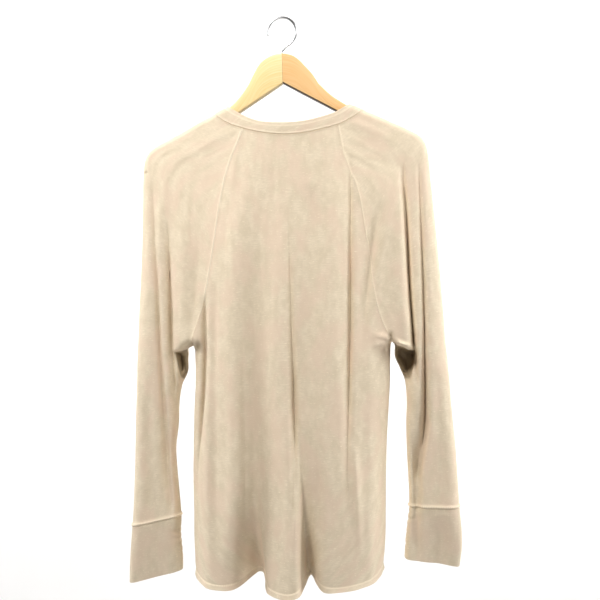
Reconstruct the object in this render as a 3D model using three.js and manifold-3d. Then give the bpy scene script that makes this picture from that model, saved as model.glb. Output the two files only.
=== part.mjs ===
// Long-sleeved raglan base layer top of fine rib knit, hung on a wooden
// clothes hanger with a wire hook. Millimetres, +Z up.
//
// Frame: the origin is where the hook bears on what it hangs from. The back
// of the garment faces -Y, its front +Y, and +X is the wearer's right.
//
// The cloth is one smooth double sheet. A back sheet and a front sheet lie
// either side of a middle surface, half a depth away from it, and meet at the
// garment's outline. The cut pieces are regions of those two sheets, each
// made as a closed wall of its own thickness.

import * as THREE from 'three';
import { mergeVertices } from 'three/addons/utils/BufferGeometryUtils.js';
import Module from 'manifold-3d';

const wasm = await Module();
wasm.setup();

// ------------------------------------------------------------ driving sizes

const PANEL_WALL = 1.5;        // single knit panels
const BAND_WALL = 2.2;         // doubled rib of the neckband
const CUFF_WALL = 2.2;         // doubled rib of the cuffs
const SEAM_GAP = 0.3;          // between two pieces at a seam
const MIN_FOLD = 7;            // narrowest fold half width worked into a wall

const ARM_RISE = Math.tan(THREE.MathUtils.degToRad(12)); // arms run forward
const ARM_THICK = 11;
const ARM_EDGE = 2.4;          // rounded edges of the wood
const ARM_REACH = 204;         // centre to the end of an arm, along X
const ARM_HEIGHT = 17;         // of the straight, outer stretch
const MITRE_GAP = 0.3;
const CLOTH_OVER_ARM = 3.3;    // middle of the cloth above the wood
const SHOULDER_HALF = 10.2;    // half depth of the cloth over an arm
const SHOULDER_GROWTH = 0.145; // how fast the two layers part below it

const WIRE_R = 1.9;            // hook wire
const HOOK_BEND = 20;          // inner radius of the hook
const SHANK_DEPTH = 14;        // of the shank in the wood
const SHANK_FIT = 0.3;

const HEM_FALL = 5;            // hem: rise at the side seams
const HEM_SWAY = 0.15;         // and drop of what hangs further out

// Columns of each panel's wall.
const BACK_COLS = 30;
const FRONT_COLS = 22;
const SLEEVE_HALF_COLS = 10;

// ------------------------------------------------------------------- tables

function table(columns, rows) {
  return rows.map((r) => Object.fromEntries(columns.map((c, i) => [c, r[i]])));
}

// Sleeve sections from the neck to the armpit: where each starts on the back
// raglan seam, where it crosses the shoulder and outer edge, and where it
// ends on the front raglan seam.
const RAGLAN = {
  left: table(['seamX', 'seamZ', 'outerX', 'outerZ', 'frontX', 'frontZ'], [
    [-64, -165, -112, -138.1, -91, -188],
    [-73, -186, -138, -149.6, -97, -208],
    [-83, -207, -166, -162.2, -102, -228],
    [-92, -232, -193, -173.8, -107, -249],
    [-99, -258, -216, -184.5, -111, -271],
    [-105, -286, -229, -198, -115, -295],
    [-110, -315, -234.3, -224, -119, -320],
    [-115, -345, -236.3, -266, -123, -347],
    [-121, -378, -238.8, -330, -127, -378],
    [-128, -412, -242.8, -395, -132, -411],
    [-138, -450, -246.8, -452, -140, -450],
    [-155, -496, -249.6, -500, -155, -496],
  ]),
  right: table(['seamX', 'seamZ', 'outerX', 'outerZ', 'frontX', 'frontZ'], [
    [82, -165, 121, -142.1, 100, -190],
    [86, -190, 142, -151.5, 104, -210],
    [91, -214, 165, -161.9, 108, -230],
    [99, -236, 186, -171.6, 112, -251],
    [108, -258, 203.5, -181.2, 116, -273],
    [114, -285, 212.8, -192.5, 119, -297],
    [118, -312, 217.2, -214, 122, -322],
    [122, -342, 220.5, -258, 125, -349],
    [127, -374, 225.8, -320, 128, -379],
    [131, -412, 230.4, -390, 132, -412],
    [139, -455, 234.4, -455, 140, -455],
    [156, -497, 236.6, -500, 156, -497],
  ]),
};

// Sleeve sections from the armpit to the top of the cuff, then the cuff.
const SLEEVE = {
  left: table(['innerX', 'innerZ', 'outerX', 'outerZ'], [
    [-155, -496, -249.6, -500],
    [-170, -504.5, -250.2, -508],
    [-172.5, -519, -251, -524],
    [-172, -540, -252, -545],
    [-180, -562, -253, -566],
    [-185, -590, -254.3, -594],
    [-187, -625, -256.4, -631],
    [-192, -660, -258.2, -668],
    [-190.5, -700, -260.6, -712],
    [-187.5, -740, -263.6, -755],
    [-185.8, -768, -266.6, -787],
  ]),
  right: table(['innerX', 'innerZ', 'outerX', 'outerZ'], [
    [156, -497, 236.6, -500],
    [160, -504, 237.3, -508],
    [160, -522, 238.8, -524],
    [167.5, -540, 240.2, -543],
    [175, -560, 241.6, -563],
    [177, -590, 243.2, -592],
    [175.5, -625, 245.6, -627],
    [175.5, -665, 248.5, -667],
    [176.8, -705, 250.3, -709],
    [177.5, -735, 251.5, -738],
    [177, -753, 252.2, -757],
  ]),
};

const CUFF = {
  left: table(['innerX', 'innerZ', 'outerX', 'outerZ'], [
    [-185.8, -768, -266.6, -787],
    [-186.8, -797, -269, -818],
    [-184.8, -826, -270.6, -848],
    [-185.2, -852, -272, -876],
  ]),
  right: table(['innerX', 'innerZ', 'outerX', 'outerZ'], [
    [177, -753, 252.2, -757],
    [173, -780, 254.2, -785],
    [170, -806, 254.6, -815],
    [168, -830, 250.2, -846],
  ]),
};

// Side edges of the body, below the armpits.
const SIDES = table(['z', 'leftX', 'rightX'], [
  [-496, -155, 156],
  [-502, -154, 152.6],
  [-515, -153.6, 151.6],
  [-535, -153.6, 150.8],
  [-560, -154.4, 150],
  [-600, -156.4, 147],
  [-650, -158.6, 143.2],
  [-700, -160.2, 140.8],
  [-750, -161, 139.2],
  [-800, -161.2, 137.4],
  [-840, -160.2, 133.4],
  [-880, -155, 128],
]);

// How far down each body section lies, from the armpits (0) to the hem (1).
const BODY_ROWS = [0.04, 0.10, 0.18, 0.29, 0.42, 0.55, 0.68, 0.80, 0.91, 1];

// The back hem's level along X, before the folds carry it out and in.
const HEM = table(['x', 'z'], [
  [-170, -858], [-150, -859.5], [-105, -860], [-80, -860], [-56, -859],
  [-34, -864], [-12, -867], [6, -864], [20, -856.5], [38, -857], [60, -859.5],
  [115, -855], [130, -851.5], [150, -846],
]);

// Neckline round the neck: the band's seam and its free edge.
const NECK_BACK = table(['seamX', 'seamZ', 'freeX', 'freeZ'], [
  [-112, -138.1, -90, -128.2],
  [-91, -153.5, -73, -139.5],
  [-64, -165, -51, -151.5],
  [-32, -174, -29, -158],
  [4, -178.5, 4, -160.5],
  [40, -175.5, 36, -158.2],
  [82, -165, 72, -148.5],
  [104, -153.5, 89, -140],
  [121, -142.1, 100, -132.7],
]);
const NECK_FRONT = table(['seamX', 'seamZ', 'freeX', 'freeZ'], [
  [121, -142.1, 100, -132.7],
  [113, -166, 95, -155],
  [100, -190, 83, -179],
  [76, -219, 63, -203],
  [42, -239, 35, -221.5],
  [4, -247, 4, -229],
  [-34, -238, -27, -221],
  [-68, -217, -54, -201.5],
  [-91, -188, -74, -177.5],
  [-104, -163, -86, -152],
  [-112, -138.1, -90, -128.2],
]);
const RAGLAN_ROW_BACK = { left: 2, right: 6 };  // rows where a raglan meets
const RAGLAN_ROW_FRONT = { right: 2, left: 8 }; // the neck seam

// Half depth of the body and of a sleeve, by height.
const BODY_DEPTH = table(['z', 'half'], [
  [-100, 17], [-180, 18], [-260, 22], [-350, 28], [-450, 35], [-550, 42],
  [-650, 50], [-750, 57], [-880, 65],
]);
const SLEEVE_DEPTH = table(['z', 'half'], [
  [-100, 14], [-200, 14], [-260, 18], [-350, 23], [-450, 27], [-530, 28],
  [-620, 25], [-720, 21], [-790, 18], [-880, 15],
]);

// How far in from an edge the cloth takes to reach that half depth.
const REACH = table(['z', 'outer', 'sleeve', 'body'], [
  [-100, 9, 24, 30], [-192, 9, 24, 30], [-240, 14, 24, 30],
  [-320, 20, 24, 32], [-450, 24, 24, 34], [-600, 24, 24, 38],
  [-760, 20, 20, 44], [-880, 16, 16, 46],
]);

// Folds that run down the cloth: three points of each line, its depth at
// them, its half width on the -X and +X side, and how square each side is.
// A negative depth is a ridge.
const FOLD_COLUMNS = ['x0', 'z0', 'x1', 'z1', 'x2', 'z2',
  'd0', 'd1', 'd2', 'wl', 'wr', 'pl', 'pr'];
const BACK_FOLDS = table(FOLD_COLUMNS, [
  [-131, -430, -131, -530, -147, -680, 4, 12, 2, 5, 6, 2, 2],
  [-98, -370, -113, -560, -116, -820, 1, 5, 4, 14, 12, 2, 2],
  [-64, -250, -69, -500, -72, -720, 2, 7, 10, 18, 16, 2, 2],
  [-70, -640, -66, -760, -55, -872, 2, 26, 82, 24, 16, 2.4, 6],
  [-2, -380, 0, -560, 1, -850, 2, 8, 7, 5, 5, 2, 2],
  [10, -600, 10, -740, 20, -872, 3, 30, 82, 11, 22, 4, 2.2],
  [38, -660, 38, -740, 38, -820, 2, 8, 2, 9, 9, 2, 2],
  [96, -250, 91, -520, 88, -760, 4, 10, 5, 11, 6, 2, 2],
  [101, -690, 101, -740, 101, -790, 2, 5, 2, 6, 6, 2, 2],
  [120, -340, 127, -420, 134, -480, 2, 5, 3, 6, 6, 2, 2],
  [118, -620, 119, -730, 119, -860, -2, -6, -5, 13, 13, 2, 2],
  [-219, -225, -216, -470, -199, -745, 4, 9, 7, 6, 6, 2, 2],
  [-192, -245, -188, -420, -186, -575, 3, 7, 7, 6, 6, 2, 2],
  [176, -245, 180, -400, 189, -520, 4, 8, 12, 7, 5, 2, 2],
  [199, -245, 201, -430, 203, -625, 4, 9, 10, 6, 6, 2, 2],
  [184, -600, 189, -700, 187, -830, 4, 10, 4, 8, 8, 2, 2],
]);
const FRONT_FOLDS = table(FOLD_COLUMNS, [
  [-84, -420, -90, -640, -96, -872, 2, 12, 28, 20, 16, 2.2, 2.6],
  [-30, -330, -28, -600, -22, -872, 2, 12, 30, 18, 14, 2.2, 3],
  [34, -360, 42, -620, 46, -872, 2, 11, 26, 16, 20, 2.4, 2.2],
  [92, -300, 92, -560, 98, -872, 3, 10, 20, 12, 14, 2, 2],
  [-126, -400, -128, -520, -136, -690, 3, 9, 3, 7, 7, 2, 2],
  [-204, -240, -206, -470, -214, -740, 3, 8, 5, 7, 7, 2, 2],
  [-178, -380, -184, -470, -196, -600, 2, 7, 3, 7, 7, 2, 2],
  [188, -240, 192, -440, 204, -700, 3, 8, 5, 7, 7, 2, 2],
  [212, -300, 214, -430, 222, -560, 2, 5, 3, 7, 7, 2, 2],
]);

// Hollow under each arm: the sleeve's lower layer stands forward of the
// upper one, whose edge runs in an arch from (x0, z0) to (x1, z1).
const UNDERARM = {
  left: { x0: -182, z0: -506, x1: -134, z1: -491, foot: -566, depth: 9, shift: 7 },
  right: { x0: 189, z0: -510, x1: 150, z1: -497, foot: -566, depth: 13, shift: 14 },
};
const HOLLOW_EDGE = 20;        // over which the cloth turns into it

// Wood: top edge of each arm, out from the middle.
const ARM_TOP = {
  left: table(['x', 'z'], [
    [0, -53.2], [10, -54], [20, -56.5], [31, -62], [37, -68], [44, -78.6],
    [54, -96], [66, -110.9], [77, -122.2], [90, -132.2],
  ]),
  right: table(['x', 'z'], [
    [0, -53.2], [10, -55], [18, -58.4], [25, -64], [31.4, -71.4],
    [43.6, -84.8], [53, -99.9], [69, -115.7], [84, -126.6], [97, -134.6],
  ]),
};
const ARM_LINE = { x: 87, z: -130.1, slope: 0.45 };
const ARM_DROOP = { from: 176, drop: 5 };   // of the wood towards its end
const ARM_UNDER = { z: -99.8, slope: 0.545 };

// ------------------------------------------------------------ interpolation

function lerp(a, b, t) { return a + (b - a) * t; }
function smooth(t) { const c = Math.min(1, Math.max(0, t)); return c * c * (3 - 2 * c); }

// Smooth curve through a table's rows, by row number.
function atRow(rows, t, key) {
  const n = rows.length - 1;
  const i = Math.min(n - 1, Math.max(0, Math.floor(t)));
  const f = Math.min(1, Math.max(0, t - i));
  const p1 = rows[i][key], p2 = rows[i + 1][key];
  const p0 = i > 0 ? rows[i - 1][key] : 2 * p1 - p2;
  const p3 = i < n - 1 ? rows[i + 2][key] : 2 * p2 - p1;
  return 0.5 * (2 * p1 + (p2 - p0) * f + (2 * p0 - 5 * p1 + 4 * p2 - p3) * f * f
    + (3 * p1 - p0 - 3 * p2 + p3) * f * f * f);
}

// Value at a place along a table's own x or z column.
function atValue(rows, v, by, key) {
  const up = rows[rows.length - 1][by] > rows[0][by];
  let i = 0;
  while (i < rows.length - 2 && (up ? v > rows[i + 1][by] : v < rows[i + 1][by])) i += 1;
  const f = Math.min(1, Math.max(0, (v - rows[i][by]) / (rows[i + 1][by] - rows[i][by])));
  return atRow(rows, i + f, key);
}

// ----------------------------------------------------- outline and distance

const SUB = 5;
function sampled(rows, keyX, keyZ, from = 0) {
  const out = [];
  const n = (rows.length - 1) * SUB;
  for (let i = from * SUB; i <= n; i += 1) {
    out.push([atRow(rows, i / SUB, keyX), atRow(rows, i / SUB, keyZ)]);
  }
  return out;
}

const SIDE_SIGN = { left: -1, right: 1 };
const OUTLINE = {};
const GAP = {};
for (const side of ['left', 'right']) {
  const s = SIDE_SIGN[side];
  const top = [[0, ARM_LINE.z + ARM_LINE.slope * ARM_LINE.x + CLOTH_OVER_ARM]];
  for (let x = 30; x < Math.abs(RAGLAN[side][0].outerX) - 8; x += 20) {
    top.push([s * x, ARM_LINE.z - ARM_LINE.slope * (x - ARM_LINE.x) + CLOTH_OVER_ARM]);
  }
  OUTLINE[side] = [
    ...top,
    ...sampled(RAGLAN[side], 'outerX', 'outerZ'),
    ...sampled(SLEEVE[side], 'outerX', 'outerZ').slice(1),
    ...sampled(CUFF[side], 'outerX', 'outerZ').slice(1),
    [CUFF[side][3].outerX + s * 2, CUFF[side][3].outerZ - 40],
  ];
  GAP[side] = [
    [CUFF[side][3].innerX, CUFF[side][3].innerZ - 40],
    ...sampled(CUFF[side], 'innerX', 'innerZ').reverse(),
    ...sampled(SLEEVE[side], 'innerX', 'innerZ').reverse().slice(1),
    ...SIDES.slice(1).map((r) => [side === 'left' ? r.leftX : r.rightX, r.z]),
    [side === 'left' ? -150 : 122, -930],
  ];
}

// Signed distance from an outline, positive inside the cloth, and where the
// nearest point is.
function distance(line, x, z, sign) {
  let best = Infinity, square = 0, out = 0;
  for (let i = 0; i < line.length - 1; i += 1) {
    const [ax, az] = line[i], [bx, bz] = line[i + 1];
    const ex = bx - ax, ez = bz - az;
    const t = Math.min(1, Math.max(0, ((x - ax) * ex + (z - az) * ez) / (ex * ex + ez * ez)));
    const dx = x - ax - ex * t, dz = z - az - ez * t;
    const d2 = dx * dx + dz * dz;
    const across = (ex * (z - az) - ez * (x - ax)) / Math.hypot(ex, ez);
    // At a corner two stretches are equally near: the squarer one decides.
    if (d2 < best - 1e-7 || (d2 < best + 1e-7 && Math.abs(across) > square)) {
      best = Math.min(best, d2);
      square = Math.abs(across);
      out = across * sign < 0 ? -1 : 1;
    }
  }
  return out * Math.sqrt(best);
}
// Signs that make the cloth's side positive for each line's own direction.
const OUTLINE_SIGN = { left: 1, right: -1 };
const GAP_SIGN = { left: 1, right: -1 };

// ------------------------------------------------------------ cloth surface

function edgeFactor(d, reach) {
  if (d >= reach) return 1;
  const u = 1 - d / reach;
  return 1 - u * u;
}

function armLine(x) { return ARM_LINE.z - ARM_LINE.slope * (Math.abs(x) - ARM_LINE.x); }

// Top of the wood along its straight stretch and drooping end.
function armTop(x) {
  const past = Math.max(0, (x - ARM_DROOP.from) / (ARM_REACH - ARM_DROOP.from));
  return armLine(x) - ARM_DROOP.drop * past * past;
}

// Middle surface between the two sheets: it follows the hanger's two arms.
function middle(x) {
  const a = Math.abs(x);
  let f = a;
  if (a < 90) {
    const u = a / 90;
    f = 90 * (3 + 6 * u * u - u ** 4) / 8;
  } else if (a > 205) f = 205 + 25 * (1 - Math.exp(-(a - 205) / 25));
  return ARM_RISE * f;
}

function sheetInfo(x, z) {
  const side = x < 0 ? 'left' : 'right';
  const dOut = distance(OUTLINE[side], x, z, OUTLINE_SIGN[side]);
  const dGap = distance(GAP[side], x, z, GAP_SIGN[side]);
  return { side, dOut, dGap };
}

function halfDepthSquared(x, z) {
  const { side, dOut, dGap } = sheetInfo(x, z);
  const a = Math.abs(x);
  const pit = Math.abs(SLEEVE[side][0].innerX);
  const raglan = z > -496 ? Math.abs(atValue(RAGLAN[side], z, 'seamZ', 'seamX')) : pit;
  const onSleeve = smooth((a - raglan) / 60 + 0.5);
  const tabled = lerp(atValue(BODY_DEPTH, z, 'z', 'half'), atValue(SLEEVE_DEPTH, z, 'z', 'half'), onSleeve);
  const drop = Math.max(0, armLine(x) + CLOTH_OVER_ARM - z) * 0.91;
  const limit = SHOULDER_HALF + SHOULDER_GROWTH * drop;
  const half = (tabled ** -4 + limit ** -4) ** -0.25;
  const reachOut = atValue(REACH, z, 'z', 'outer');
  const onGap = smooth((a - pit) / 40 + 0.5);
  const reachGap = lerp(atValue(REACH, z, 'z', 'body'), atValue(REACH, z, 'z', 'sleeve'), onGap);
  return half * half * edgeFactor(dOut, reachOut) * edgeFactor(dGap, reachGap);
}

// Quadratic through a fold's three points, at a height.
function along(z, z0, z1, z2, v0, v1, v2) {
  return v0 * ((z - z1) * (z - z2)) / ((z0 - z1) * (z0 - z2))
    + v1 * ((z - z0) * (z - z2)) / ((z1 - z0) * (z1 - z2))
    + v2 * ((z - z0) * (z - z1)) / ((z2 - z0) * (z2 - z1));
}

function foldDepth(rows, x, z) {
  let sum = 0;
  for (const r of rows) {
    if (z > r.z0 + 30 || z < r.z2 - 30) continue;
    const zc = Math.min(r.z0, Math.max(r.z2, z));
    const cx = along(z, r.z0, r.z1, r.z2, r.x0, r.x1, r.x2);
    const fade = smooth((r.z0 + 30 - z) / 60) * (r.z2 < -860 ? 1 : smooth((z - r.z2 + 30) / 60));
    const f = (zc - r.z1) / (zc > r.z1 ? r.z0 - r.z1 : r.z2 - r.z1);
    const depth = zc > r.z1 ? lerp(r.d1, r.d0, f) : lerp(r.d1, r.d2, f * f * 0.5 + f * 0.5);
    const u = (x - cx) / Math.max(MIN_FOLD, x < cx ? r.wl : r.wr);
    sum += depth * fade * Math.exp(-(Math.abs(u) ** (x < cx ? r.pl : r.pr)));
  }
  return sum;
}

// How far the cloth under the arm stands forward, and how far the back layer
// is drawn in below the arch.
function underarm(x, z) {
  const side = x < 0 ? 'left' : 'right';
  const h = UNDERARM[side];
  const s = SIDE_SIGN[side];
  const t = (x - h.x1) / (h.x0 - h.x1);
  const arch = lerp(h.z1, h.z0, smooth(t)) - 2;
  const edge = h.x0 * s - Math.max(0, h.z0 - z) ** 2 * 0.006;
  const below = smooth((arch + 4 - z) / HOLLOW_EDGE) * smooth((z - h.foot) / 36);
  const within = smooth((edge + 4 - x * s) / HOLLOW_EDGE);
  return {
    shift: h.shift * smooth((arch + 6 - z) / 32) * smooth((z - h.foot + 30) / 60)
      * smooth((edge + 6 - x * s) / 34) * smooth((x * s - Math.abs(SLEEVE[side][0].innerX) + 6) / 8),
    draw: h.depth * below * within * smooth((x * s - Math.abs(SLEEVE[side][0].innerX) + 4) / 6),
  };
}

// Where the middle of the cloth's thickness lies at (x, z) on one sheet, but
// for the half depth: sheet -1 is the back, +1 the front.
function sheetMiddle(x, z, sheet) {
  const { dOut, dGap } = sheetInfo(x, z);
  const fade = smooth(Math.min(dOut, dGap) / 9);
  const u = underarm(x, z);
  const folds = sheet < 0 ? foldDepth(BACK_FOLDS, x, z) + u.draw
    : -foldDepth(FRONT_FOLDS, x, z);
  return middle(x) + u.shift + fade * folds;
}

function surface(x, z, sheet) {
  const half = Math.sqrt(Math.max(0, halfDepthSquared(x, z)));
  return new THREE.Vector3(x, sheetMiddle(x, z, sheet) + sheet * half, z);
}

// Outward normal of the sheet.
function surfaceNormal(x, z, sheet) {
  const e = 0.4;
  const half = Math.sqrt(Math.max(0, halfDepthSquared(x, z)));
  const hx = (halfDepthSquared(x + e, z) - halfDepthSquared(x - e, z)) / (4 * e);
  const hz = (halfDepthSquared(x, z + e) - halfDepthSquared(x, z - e)) / (4 * e);
  const mx = (sheetMiddle(x + e, z, sheet) - sheetMiddle(x - e, z, sheet)) / (2 * e);
  const mz = (sheetMiddle(x, z + e, sheet) - sheetMiddle(x, z - e, sheet)) / (2 * e);
  const y = sheet * half;
  return new THREE.Vector3(-hx - y * mx, y, -hz - y * mz).normalize();
}

// ------------------------------------------------------------------ regions

function neckPoint(rows, t, edge) {
  return [atRow(rows, t, `${edge}X`), atRow(rows, t, `${edge}Z`)];
}

// (x, z) of a body panel: row k counts from the neck (0) to the armpits (11)
// and on to the hem, s runs from the left edge to the right.
const PIT_ROW = RAGLAN.left.length - 1;
function bodyPlace(k, s, sheet) {
  const key = sheet < 0 ? 'seam' : 'front';
  if (k <= PIT_ROW) {
    const ax = atRow(RAGLAN.left, k, `${key}X`), az = atRow(RAGLAN.left, k, `${key}Z`);
    const bx = atRow(RAGLAN.right, k, `${key}X`), bz = atRow(RAGLAN.right, k, `${key}Z`);
    const a0 = [RAGLAN.left[0][`${key}X`], RAGLAN.left[0][`${key}Z`]];
    const b0 = [RAGLAN.right[0][`${key}X`], RAGLAN.right[0][`${key}Z`]];
    const neck = sheet < 0
      ? neckPoint(NECK_BACK, lerp(RAGLAN_ROW_BACK.left, RAGLAN_ROW_BACK.right, s), 'seam')
      : neckPoint(NECK_FRONT, lerp(RAGLAN_ROW_FRONT.left, RAGLAN_ROW_FRONT.right, s), 'seam');
    const fade = (1 - k / PIT_ROW) ** 1.5;
    return [lerp(ax, bx, s) + fade * (neck[0] - lerp(a0[0], b0[0], s)),
      lerp(az, bz, s) + fade * (neck[1] - lerp(a0[1], b0[1], s))];
  }
  const f = BODY_ROWS[k - PIT_ROW - 1];
  const pitZ = lerp(RAGLAN.left[PIT_ROW].seamZ, RAGLAN.right[PIT_ROW].seamZ, s);
  let x = 0, z = lerp(pitZ, -862, f);
  for (let i = 0; i < 4; i += 1) {
    x = lerp(atValue(SIDES, z, 'z', 'leftX'), atValue(SIDES, z, 'z', 'rightX'), s);
    const sway = f < 0.5 ? 0 : surface(x, -860, sheet).y - middle(x);
    const hem = atValue(HEM, x, 'x', 'z') + HEM_FALL + HEM_SWAY * sway * -sheet;
    z = lerp(pitZ, hem, f);
  }
  return [x, z];
}

// (x, z) of a sleeve above the armpit: s runs from the raglan seam (0) to the
// shoulder and outer edge (1), on one sheet.
function sleevePlace(side, k, s, sheet) {
  const rows = RAGLAN[side];
  if (k <= PIT_ROW) {
    const key = sheet < 0 ? 'seam' : 'front';
    const a = [atRow(rows, k, `${key}X`), atRow(rows, k, `${key}Z`)];
    const o = [atRow(rows, k, 'outerX'), atRow(rows, k, 'outerZ')];
    const a0 = [rows[0][`${key}X`], rows[0][`${key}Z`]];
    const o0 = [rows[0].outerX, rows[0].outerZ];
    const table_ = sheet < 0 ? NECK_BACK : NECK_FRONT;
    const from = (sheet < 0 ? RAGLAN_ROW_BACK : RAGLAN_ROW_FRONT)[side];
    const last = table_.length - 1;
    const to = (side === 'left') === (sheet < 0) ? 0 : last;
    const neck = neckPoint(table_, lerp(from, to, s), 'seam');
    const fade = Math.max(0, 1 - k / 4) ** 2;
    return [lerp(a[0], o[0], s) + fade * (neck[0] - lerp(a0[0], o0[0], s)),
      lerp(a[1], o[1], s) + fade * (neck[1] - lerp(a0[1], o0[1], s))];
  }
  const r = [...SLEEVE[side], ...CUFF[side].slice(1)][k - PIT_ROW];
  return [lerp(r.innerX, r.outerX, s), lerp(r.innerZ, r.outerZ, s)];
}

// Places along one section at chosen lengths of cloth: pos() gives (x, z) at
// s, wanted() gives the lengths from the far end for a total length.
const FINE = 240;
function spaced(pos, sheet, wanted) {
  const pts = [];
  const lens = [0];
  for (let i = 0; i <= FINE; i += 1) {
    const s = (1 - Math.cos(Math.PI * i / FINE)) / 2;
    const [x, z] = pos(s);
    pts.push({ s, p: surface(x, z, sheet) });
    if (i > 0) lens.push(lens[i - 1] + pts[i].p.distanceTo(pts[i - 1].p));
  }
  const total = lens[FINE];
  return wanted(total).map((want) => {
    let i = 0;
    while (i < FINE - 1 && lens[i + 1] < want) i += 1;
    const f = Math.min(1, Math.max(0, (want - lens[i]) / (lens[i + 1] - lens[i] || 1)));
    return lerp(pts[i].s, pts[i + 1].s, f);
  });
}

function node(x, z, sheet) {
  return { p: surface(x, z, sheet), n: surfaceNormal(x, z, sheet) };
}

function bodyRow(k, sheet, cols) {
  const s = spaced((v) => bodyPlace(k, v, sheet), sheet,
    (total) => Array.from({ length: cols + 1 }, (_, j) => total * j / cols));
  s[0] = 0;
  s[cols] = 1;
  return s.map((v) => node(...bodyPlace(k, v, sheet), sheet));
}

// Half a sleeve section, from the seam or inner edge to the outer edge.
function sleeveHalfRow(side, k, sheet) {
  const n = SLEEVE_HALF_COLS;
  const z = sleevePlace(side, k, 1, sheet)[1];
  const reach = atValue(REACH, z, 'z', 'outer');
  const s = spaced((v) => sleevePlace(side, k, v, sheet), sheet, (total) => {
    const near = [1.33 * reach, 0.62 * reach, 0];
    const rest = total - near[0];
    return Array.from({ length: n + 1 }, (_, j) => (j <= n - 2 ? rest * j / (n - 2) : total - near[j - n + 2]));
  });
  s[0] = 0;
  s[n] = 1;
  return s.map((v) => node(...sleevePlace(side, k, v, sheet), sheet));
}

// Whole section: back raglan or inner edge, over the outer edge, to the front
// raglan or inner edge.
function sleeveRow(side, k) {
  const back = sleeveHalfRow(side, k, -1);
  const front = sleeveHalfRow(side, k, 1).reverse();
  return [...back, ...front.slice(1)];
}

// ----------------------------------------------------------- closed walls

// Draw a grid's edge rows and columns back from the seam by half the gap,
// square to the seam.
function drawBack(grid, { first = true, last = true, left = true, right = true, amount = SEAM_GAP / 2 }) {
  const rows = grid.length, cols = grid[0].length;
  const at = (i, j) => grid[Math.min(rows - 1, Math.max(0, i))][Math.min(cols - 1, Math.max(0, j))].p;
  const pull = (i, j, ti, tj) => {
    const along_ = at(i + tj, j + ti).clone().sub(at(i - tj, j - ti)).normalize();
    const d = at(i + (i === 0 ? 1 : -1) * ti, j + (j === 0 ? 1 : -1) * tj).clone().sub(at(i, j));
    d.addScaledVector(along_, -d.dot(along_));
    return d.setLength(amount);
  };
  return grid.map((row, i) => row.map((q, j) => {
    const p = q.p.clone();
    if ((first && i === 0) || (last && i === rows - 1)) p.add(pull(i, j, 1, 0));
    if ((left && j === 0) || (right && j === cols - 1)) p.add(pull(i, j, 0, 1));
    return { p, n: q.n };
  }));
}

// Solid wall of a grid of nodes. closedFrom is the row from which the first
// and last columns are one. ring closes every row on itself.
function wall(grid, thick, { closedFrom = Infinity, ring = false, flip = false } = {}) {
  const rows = grid.length;
  const cols = grid[0].length;
  const pos = [];
  const outer = [], inner = [];
  for (let i = 0; i < rows; i += 1) {
    outer.push([]);
    inner.push([]);
    for (let j = 0; j < cols; j += 1) {
      if (!ring && i >= closedFrom && j === cols - 1) {
        outer[i].push(outer[i][0]);
        inner[i].push(inner[i][0]);
      } else {
        const { p, n } = grid[i][j];
        outer[i].push(pos.length / 3);
        pos.push(p.x + n.x * thick / 2, p.y + n.y * thick / 2, p.z + n.z * thick / 2);
        inner[i].push(pos.length / 3);
        pos.push(p.x - n.x * thick / 2, p.y - n.y * thick / 2, p.z - n.z * thick / 2);
      }
    }
    if (ring) {
      outer[i].push(outer[i][0]);
      inner[i].push(inner[i][0]);
    }
  }
  const idx = [];
  const tri = (a, b, c) => {
    if (a === b || b === c || c === a) return;
    if (flip) idx.push(a, c, b); else idx.push(a, b, c);
  };
  const quad = (a, b, c, d) => { tri(a, b, c); tri(a, c, d); };
  const last = outer[0].length - 1;
  for (let i = 0; i < rows - 1; i += 1) {
    for (let j = 0; j < last; j += 1) {
      quad(outer[i][j], outer[i + 1][j], outer[i + 1][j + 1], outer[i][j + 1]);
      quad(inner[i][j], inner[i][j + 1], inner[i + 1][j + 1], inner[i + 1][j]);
    }
    if (!ring && i < closedFrom) {
      quad(outer[i][0], inner[i][0], inner[i + 1][0], outer[i + 1][0]);
      quad(outer[i][last], outer[i + 1][last], inner[i + 1][last], inner[i][last]);
    }
  }
  for (let j = 0; j < last; j += 1) {
    quad(outer[0][j], outer[0][j + 1], inner[0][j + 1], inner[0][j]);
    const e = rows - 1;
    quad(outer[e][j], inner[e][j], inner[e][j + 1], outer[e][j + 1]);
  }
  const g = new THREE.BufferGeometry();
  g.setAttribute('position', new THREE.Float32BufferAttribute(pos, 3));
  g.setIndex(idx);
  g.computeVertexNormals();
  return g;
}

// ------------------------------------------------------------ cloth pieces

const materials = {
  knit: () => new THREE.MeshStandardMaterial({ color: 0xdccfb6, roughness: 0.92, metalness: 0 }),
  rib: () => new THREE.MeshStandardMaterial({ color: 0xd9cbb1, roughness: 0.94, metalness: 0 }),
  woodLight: () => new THREE.MeshStandardMaterial({ color: 0xf2dba6, roughness: 0.45, metalness: 0 }),
  woodWarm: () => new THREE.MeshStandardMaterial({ color: 0xefc690, roughness: 0.45, metalness: 0 }),
  steel: () => new THREE.MeshStandardMaterial({ color: 0xb9bcc0, roughness: 0.28, metalness: 1 }),
};
for (const key of Object.keys(materials)) {
  const make = materials[key];
  materials[key] = () => { const m = make(); m.side = THREE.DoubleSide; return m; };
}

const group = new THREE.Group();
function add(name, geometry, material) {
  const mesh = new THREE.Mesh(geometry, material());
  mesh.name = name;
  group.add(mesh);
  return mesh;
}

const LAST_BODY_ROW = PIT_ROW + BODY_ROWS.length;
const LAST_SLEEVE_ROW = PIT_ROW + SLEEVE.left.length - 1;
const LAST_CUFF_ROW = LAST_SLEEVE_ROW + CUFF.left.length - 1;

const seq = (a, b) => Array.from({ length: b - a + 1 }, (_, i) => a + i);

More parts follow.
